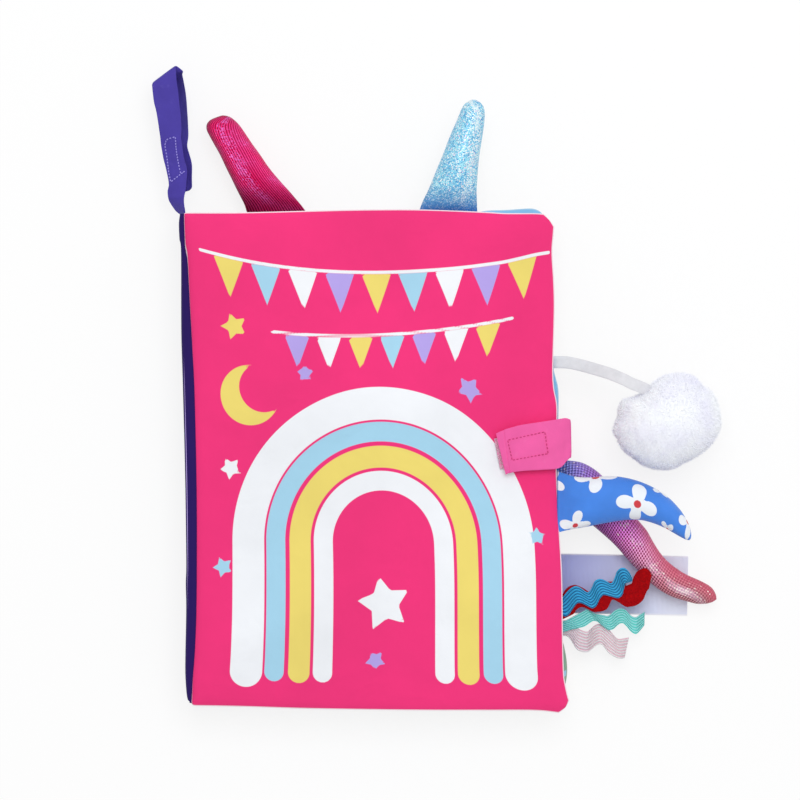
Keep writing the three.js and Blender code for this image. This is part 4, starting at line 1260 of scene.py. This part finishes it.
# For a braid, the low ink is painted shade between its cords and the high ink a painted highlight on
# them. The felt's two inks are its mottling.
trim("blue_rickrack", BLUE_EDGES, "#0a5ea6", "#44c2fa", 6, 1.5)
trim("red_felt_wave", FELT_EDGES, "#86060d", "#b50a10")
trim("mint_rickrack", MINT_EDGES, "#4ce4d7", "#a8ffff", 6)
trim("pink_rickrack", PINK_EDGES, "#ffcadc", "#fff6fa", 7)

# The side label

# A plain piece of pale satin, sewn into the back cover's fore edge. It lies flat on the table
# under the trims.
LABEL_LINE = [
    (85.8, 2), (88.4, 1.9), (90.8, 0.75), (95, 0.45), (110, 0.4), (128, 0.42), (141, 0.45), (147.6, 0.6)]
LABEL_SEAM, LABEL_PLACE, LABEL_TILT = 86.8, -60.3, -0.037
LABEL_WIDTH, LABEL_THICKNESS = 28.3, 0.35


def label_satin():
    """Blank label satin: smooth, with a faint ribbing across, and painted shade that darkens it towards
    the book, so that it is paler towards its free end.
    """
    cloth = Cloth("pale_label_satin", "#c3c7ea", 0.45, specular=0.45)
    # Painted shade: darker near the book, paler towards the free end.
    now = cloth.along.between(0.004, 0.055).mix("#aeb3ec", "#e6ecff")
    now = toned(now, cloth.cloudy(60, 0.95, 1.03))
    cloth.paint(abs(cloth.across).between(0.0134, 0.0137, 0, 0.7).mix(now, "#f4f2fa"))
    cloth.relief(cloth.noise(45, 1), 0.0008)
    cloth.relief(cloth.along.sine(0.0006), 0.00003)
    return cloth.finish


label_x, label_level = smooth(LABEL_LINE, 90).T
label_line = grid(label_x, LABEL_PLACE + LABEL_TILT * (label_x - LABEL_SEAM), label_level)
label = band("side_label_satin", label_line, unit(np.array([-LABEL_TILT, 1.0, 0.0])),
             LABEL_WIDTH / 2, LABEL_THICKNESS, label_satin(), columns=41, round_off=20)
placed(label, "back_cover", "side_label")

# The hang strap

# A purple cotton strap, sewn into the top of the spine. It turns a quarter, runs up, folds over and
# comes back down behind itself, where a hook patch and a loop patch hold it, and a box of pale
# stitching holds the patches. Each row of the table is a place on either edge.
STRAP_EDGES = [
    (-89.2, 114.4, 9, -88.2, 114.4, 18), (-89.8, 117, 9, -87.6, 118, 18.4),
    (-92.4, 119.4, 10.8, -87.9, 121.3, 18.6), (-94.8, 123.1, 13.2, -88, 123.7, 18.4),
    (-95.5, 125.1, 14.8, -87.7, 125.9, 18.2), (-95.7, 128.1, 15.8, -87.2, 128.4, 17.8),
    (-95.1, 130.9, 15.6, -86.6, 133.3, 17.2), (-95.2, 133.2, 15, -86.3, 137.4, 17),
    (-96.3, 138.7, 15, -86.7, 140.3, 16.8), (-97.5, 143.6, 15.1, -87.5, 143.2, 16.8),
    (-98.4, 149.8, 15.4, -88.4, 149.7, 17), (-98.8, 154, 16, -88.8, 153.6, 17.6),
    (-99.4, 159, 16.6, -88.6, 158.8, 18), (-100.3, 165.2, 16.8, -88.9, 165, 18.2),
    (-101.4, 170.1, 17, -89.4, 170, 18.4), (-101.9, 175.1, 17.6, -89.9, 174.9, 18),
    (-102.2, 177.8, 18, -90.5, 181.1, 18.6), (-102, 178.9, 17.2, -90.8, 186, 18.2),
    (-101.7, 179.5, 13.6, -90.6, 187.1, 16.6), (-101.1, 179.7, 9.6, -89, 186, 16),
    (-99.9, 177.3, 6.6, -87.6, 184.6, 15.6), (-99.2, 173.8, 5.6, -87.9, 183, 15.6),
    (-98.5, 170.1, 5.4, -87.1, 178.6, 15.6), (-98.3, 166.4, 5.8, -86.4, 173.1, 15.6),
    (-98.2, 161.4, 7.2, -86, 167.4, 15.4), (-98, 156.5, 10, -85.7, 161.2, 15.4),
    (-97.8, 152.8, 11.8, -85.6, 154.6, 15.3), (-97.4, 149.8, 12, -86.1, 149.4, 15),
    (-96.7, 144.9, 12, -85.2, 145.7, 14.8), (-96, 139.9, 12, -84.2, 142.2, 14.8),
    (-95.4, 135, 12, -84, 139.2, 14.8), (-94.7, 132.5, 12, -84.2, 134.8, 14.8),
    (-93.5, 128.3, 11.6, -84.2, 130.2, 14.4), (-92.6, 126.8, 11.4, -85.4, 128.6, 13.4)]
STRAP_FOLD = 19
STRAP_THICKNESS, STITCH_REST = 0.9, 0.05
STRAP_ROWS, STRAP_COLUMNS = 300, 25
STRAP_CRUMPLE, STRAP_WAIST = 0.6, 0.03
PATCH_THICKNESS, HANG_PATCH_HALF, CLOSING_PATCH_HALF, CLOSING_PATCH_LENGTH = 0.9, 3.9, 7.3, 18.6
PATCH_LINE = [(-91.3, 131.5), (-91.7, 138), (-92.2, 145), (-92.6, 150)]
STRAP_BOX = [(-89.3, 136.2), (-94.1, 132.6), (-95, 136.9), (-95.7, 143.8), (-96.6, 149.8),
             (-96, 152.2), (-94.8, 152.9), (-91.6, 153.7), (-91.4, 149.7), (-91.1, 146),
             (-90.3, 140.8), (-89.3, 136.2), (-87.3, 137.5)]


def strap_cotton(name, colour, edge, crease):
    """Folded cotton strap: a close plain weave, soft creases, and paler worn patches here and there."""
    cloth = Cloth(name, colour, 0.62, sheen=0.05, sheen_roughness=0.4, specular=0.2)
    weave = cloth.weave(0.00045)
    now = toned(colour, cloth.cloudy(70, 0.9, 1.06))
    now = cloth.noise(240, 2).between(0.62, 0.8, 0, 0.25).mix(now, edge)
    cloth.paint(toned(now, weave.between(-1, 1, 0.95, 1.03)))
    cloth.relief(cloth.noise(85, 2), crease)
    cloth.relief(weave, 0.00004)
    return cloth.finish


def thread_finish(name, colour):
    """Twisted sewing thread: smooth, with a slanted lay in its relief."""
    cloth = Cloth(name, colour, 0.55, False, sheen=0.2)
    cloth.paint(toned(colour, cloth.cloudy(700, 0.86, 1.1)))
    cloth.relief(cloth.pattern("Wave", 900, "Fac", {"Distortion": 1.0},
                               bands_direction="DIAGONAL"), 0.00004)
    return cloth.finish


def hook_and_loop(name, colour, tip):
    """Hook-and-loop tape: a mat of tiny loops, lighter at their tips."""
    cloth = Cloth(name, colour, 0.9, False, sheen=0.4, specular=0.2)
    height = cloth.pattern("Voronoi", 1700, "Distance").between(0.7, 0)
    cloth.paint(height.mix(colour, tip))
    cloth.relief(height, 0.0006)
    return cloth.finish


strap_line, strap_across, strap_half = ruled(STRAP_EDGES, STRAP_ROWS)
strap_run = np.linspace(0, len(STRAP_EDGES) - 1, STRAP_ROWS)
crumple = eased(strap_run, 0.5, 3) * (1 - eased(strap_run, 12, 15))
strap_line[:, 2] += STRAP_CRUMPLE * crumple * ripples(strap_run * 4, 0, 8, 16, 5)
strap_half = strap_half * (1 + STRAP_WAIST * ripples(strap_run * 5, 3, 9, 22, 6))
strap_share = edge_crowd(STRAP_COLUMNS)
strap_tilt = 2 * strap_half * strap_across[:, 2] * eased(strap_run, STRAP_FOLD, STRAP_FOLD + 2)
hang_strap = band("hang_strap_cotton", strap_line, strap_across, strap_half, STRAP_THICKNESS,
                  strap_cotton("purple_strap_cotton", "#4b3ea4", "#6e62c0", 0.0013),
                  columns=STRAP_COLUMNS, sag=np.outer(strap_tilt, strap_share - strap_share**6))
placed(hang_strap, ("spine", "hang_strap", (-0.0898, 0.1168, 0.0135), (-0.0898, 0.1235, 0.0135)),
       "hang_strap")
hook_purple = hook_and_loop("purple_hook_and_loop", "#43368c", "#6f62b8")
for side, level in (("hook", 14.25), ("loop", 13.05)):
    patch_x, patch_y = smooth(PATCH_LINE, 30).T
    patch = band(f"hang_{side}_pile", grid(patch_x, patch_y, level), np.array([1.0, 0.0, 0.0]),
                 HANG_PATCH_HALF, PATCH_THICKNESS, hook_purple, columns=11, round_off=12)
    placed(patch, "hang_strap", f"hang_{side}_patch")


def on_strap(place):
    """A place on top of the strap's front run: the height of the strap's nearest point there."""
    front = slice(0, int(np.argmax(strap_run > STRAP_FOLD - 4)))
    wide = np.linspace(-1, 1, 41)[None, :, None] * strap_half[front, None, None]
    points = strap_line[front, None] + strap_across[front, None] * wide
    gaps = np.hypot(points[..., 0] - place[0], points[..., 1] - place[1])
    height = points[..., 2].ravel()[gaps.argmin()]
    return (*place, height + STRAP_THICKNESS / 2 + STITCH_REST)


strap_box = stitches("hang_strap_stitches", [on_strap(place) for place in STRAP_BOX], 1.35, 0.3,
                     thread_finish("pale_purple_thread", "#9c90e6"))
placed(strap_box, "hang_strap", None)

# The closing strap

# A pink cotton strap, sewn into the back cover's fore edge. It runs up past the leaves and folds
# over the front cover, where a hook patch under its end grips a loop patch that is sewn to the
# cover. A darker box of stitching holds the hook patch. Both patches are turned with the strap's
# end about the place where it folds over.
RISER_LINE = [(86.8, 2.1), (89.0, 2.15), (90.6, 2.9), (91.2, 4.8), (91.35, 10), (91.3, 18),
              (91.2, 24), (91.2, 28.2)]
RISER_MIDDLE, RISER_HALF_WIDTH = 8.4, 9
TAB_EDGES = [
    (91.3, 17.2, 28.3, 91.3, -0.4, 28.3), (91.7, 17.5, 29.3, 91.7, -0.4, 29.3),
    (91.3, 17.8, 30.3, 91.4, -0.4, 30.3), (89.4, 18.3, 30.8, 89.8, -1.9, 30.8),
    (84.6, 17.6, 30.7, 86.2, -5.1, 30.7), (76.5, 16.5, 30.8, 77.8, -5.8, 30.8),
    (68.7, 15.4, 30.9, 70.2, -6.1, 30.9), (63, 14, 30.8, 65.2, -6.6, 30.8),
    (61.3, 13.5, 30.75, 63.8, -6.9, 30.75), (60.7, 13.2, 30.35, 63.2, -7, 30.35),
    (60, 12.9, 30.6, 62.7, -7.1, 30.6), (58.4, 12.3, 30.5, 61.9, -7.4, 30.5),
    (57, 11.6, 30.3, 61.2, -7.8, 30.3)]
TAB_THICKNESS = 1.1
TAB_TILT, TAB_PIVOT = 0.188, np.array([91.2, 8.4])
TAB_WAY, TAB_ACROSS = heading(1.0, np.array([TAB_TILT, TAB_TILT + np.pi / 2]), 0.0)
TAB_BOX = [(62.4, 8.4, 31.35), (79.8, 12.0, 31.4), (81.2, 1.8, 31.4), (64.3, -1.0, 31.35),
           (62.4, 8.4, 31.35)]
strap_pink = strap_cotton("pink_strap_cotton", "#f763ac", "#fd90c8", 0.0009)
riser_x, riser_z = smooth(RISER_LINE, 70).T
riser = band("closing_strap_riser", grid(riser_x, RISER_MIDDLE, riser_z), np.array([0.0, 1.0, 0.0]),
             RISER_HALF_WIDTH, TAB_THICKNESS, strap_pink, columns=31)
placed(riser, ("back_cover", "closing_strap", (0.0880, 0.0084, 0.0020), (0.0905, 0.0084, 0.0045)),
       "closing_strap_base")
tab_line, tab_across, tab_half = ruled(TAB_EDGES, 130)
tab = band("closing_strap_tab_cotton", tab_line, -tab_across, tab_half, TAB_THICKNESS, strap_pink,
           columns=41)
placed(tab, ("closing_strap", "closing_tab", (0.0912, 0.0084, 0.0284), (0.0885, 0.0084, 0.0306)),
       "closing_strap_tab")
loop_pink = hook_and_loop("pale_pink_hook_and_loop", "#ee8fbb", "#fbe3ee")
for side, body, start, level in (("hook", "closing_tab", -29.6, 29.35),
                                 ("loop", "front_cover", -34.4, 28.05)):
    run = np.linspace(start, start + CLOSING_PATCH_LENGTH, 40)[:, None]
    patch_line = np.array([*TAB_PIVOT, level]) + run * TAB_WAY
    patch = band(f"closing_{side}_pile", patch_line, TAB_ACROSS, CLOSING_PATCH_HALF,
                 PATCH_THICKNESS, loop_pink, columns=25, round_off=12)
    placed(patch, body, f"closing_{side}_patch")
tab_stitches = stitches("closing_tab_stitches", TAB_BOX, 1.7, 0.27,
                        thread_finish("dark_pink_thread", "#cf2a77"))
placed(tab_stitches, "closing_tab", None)
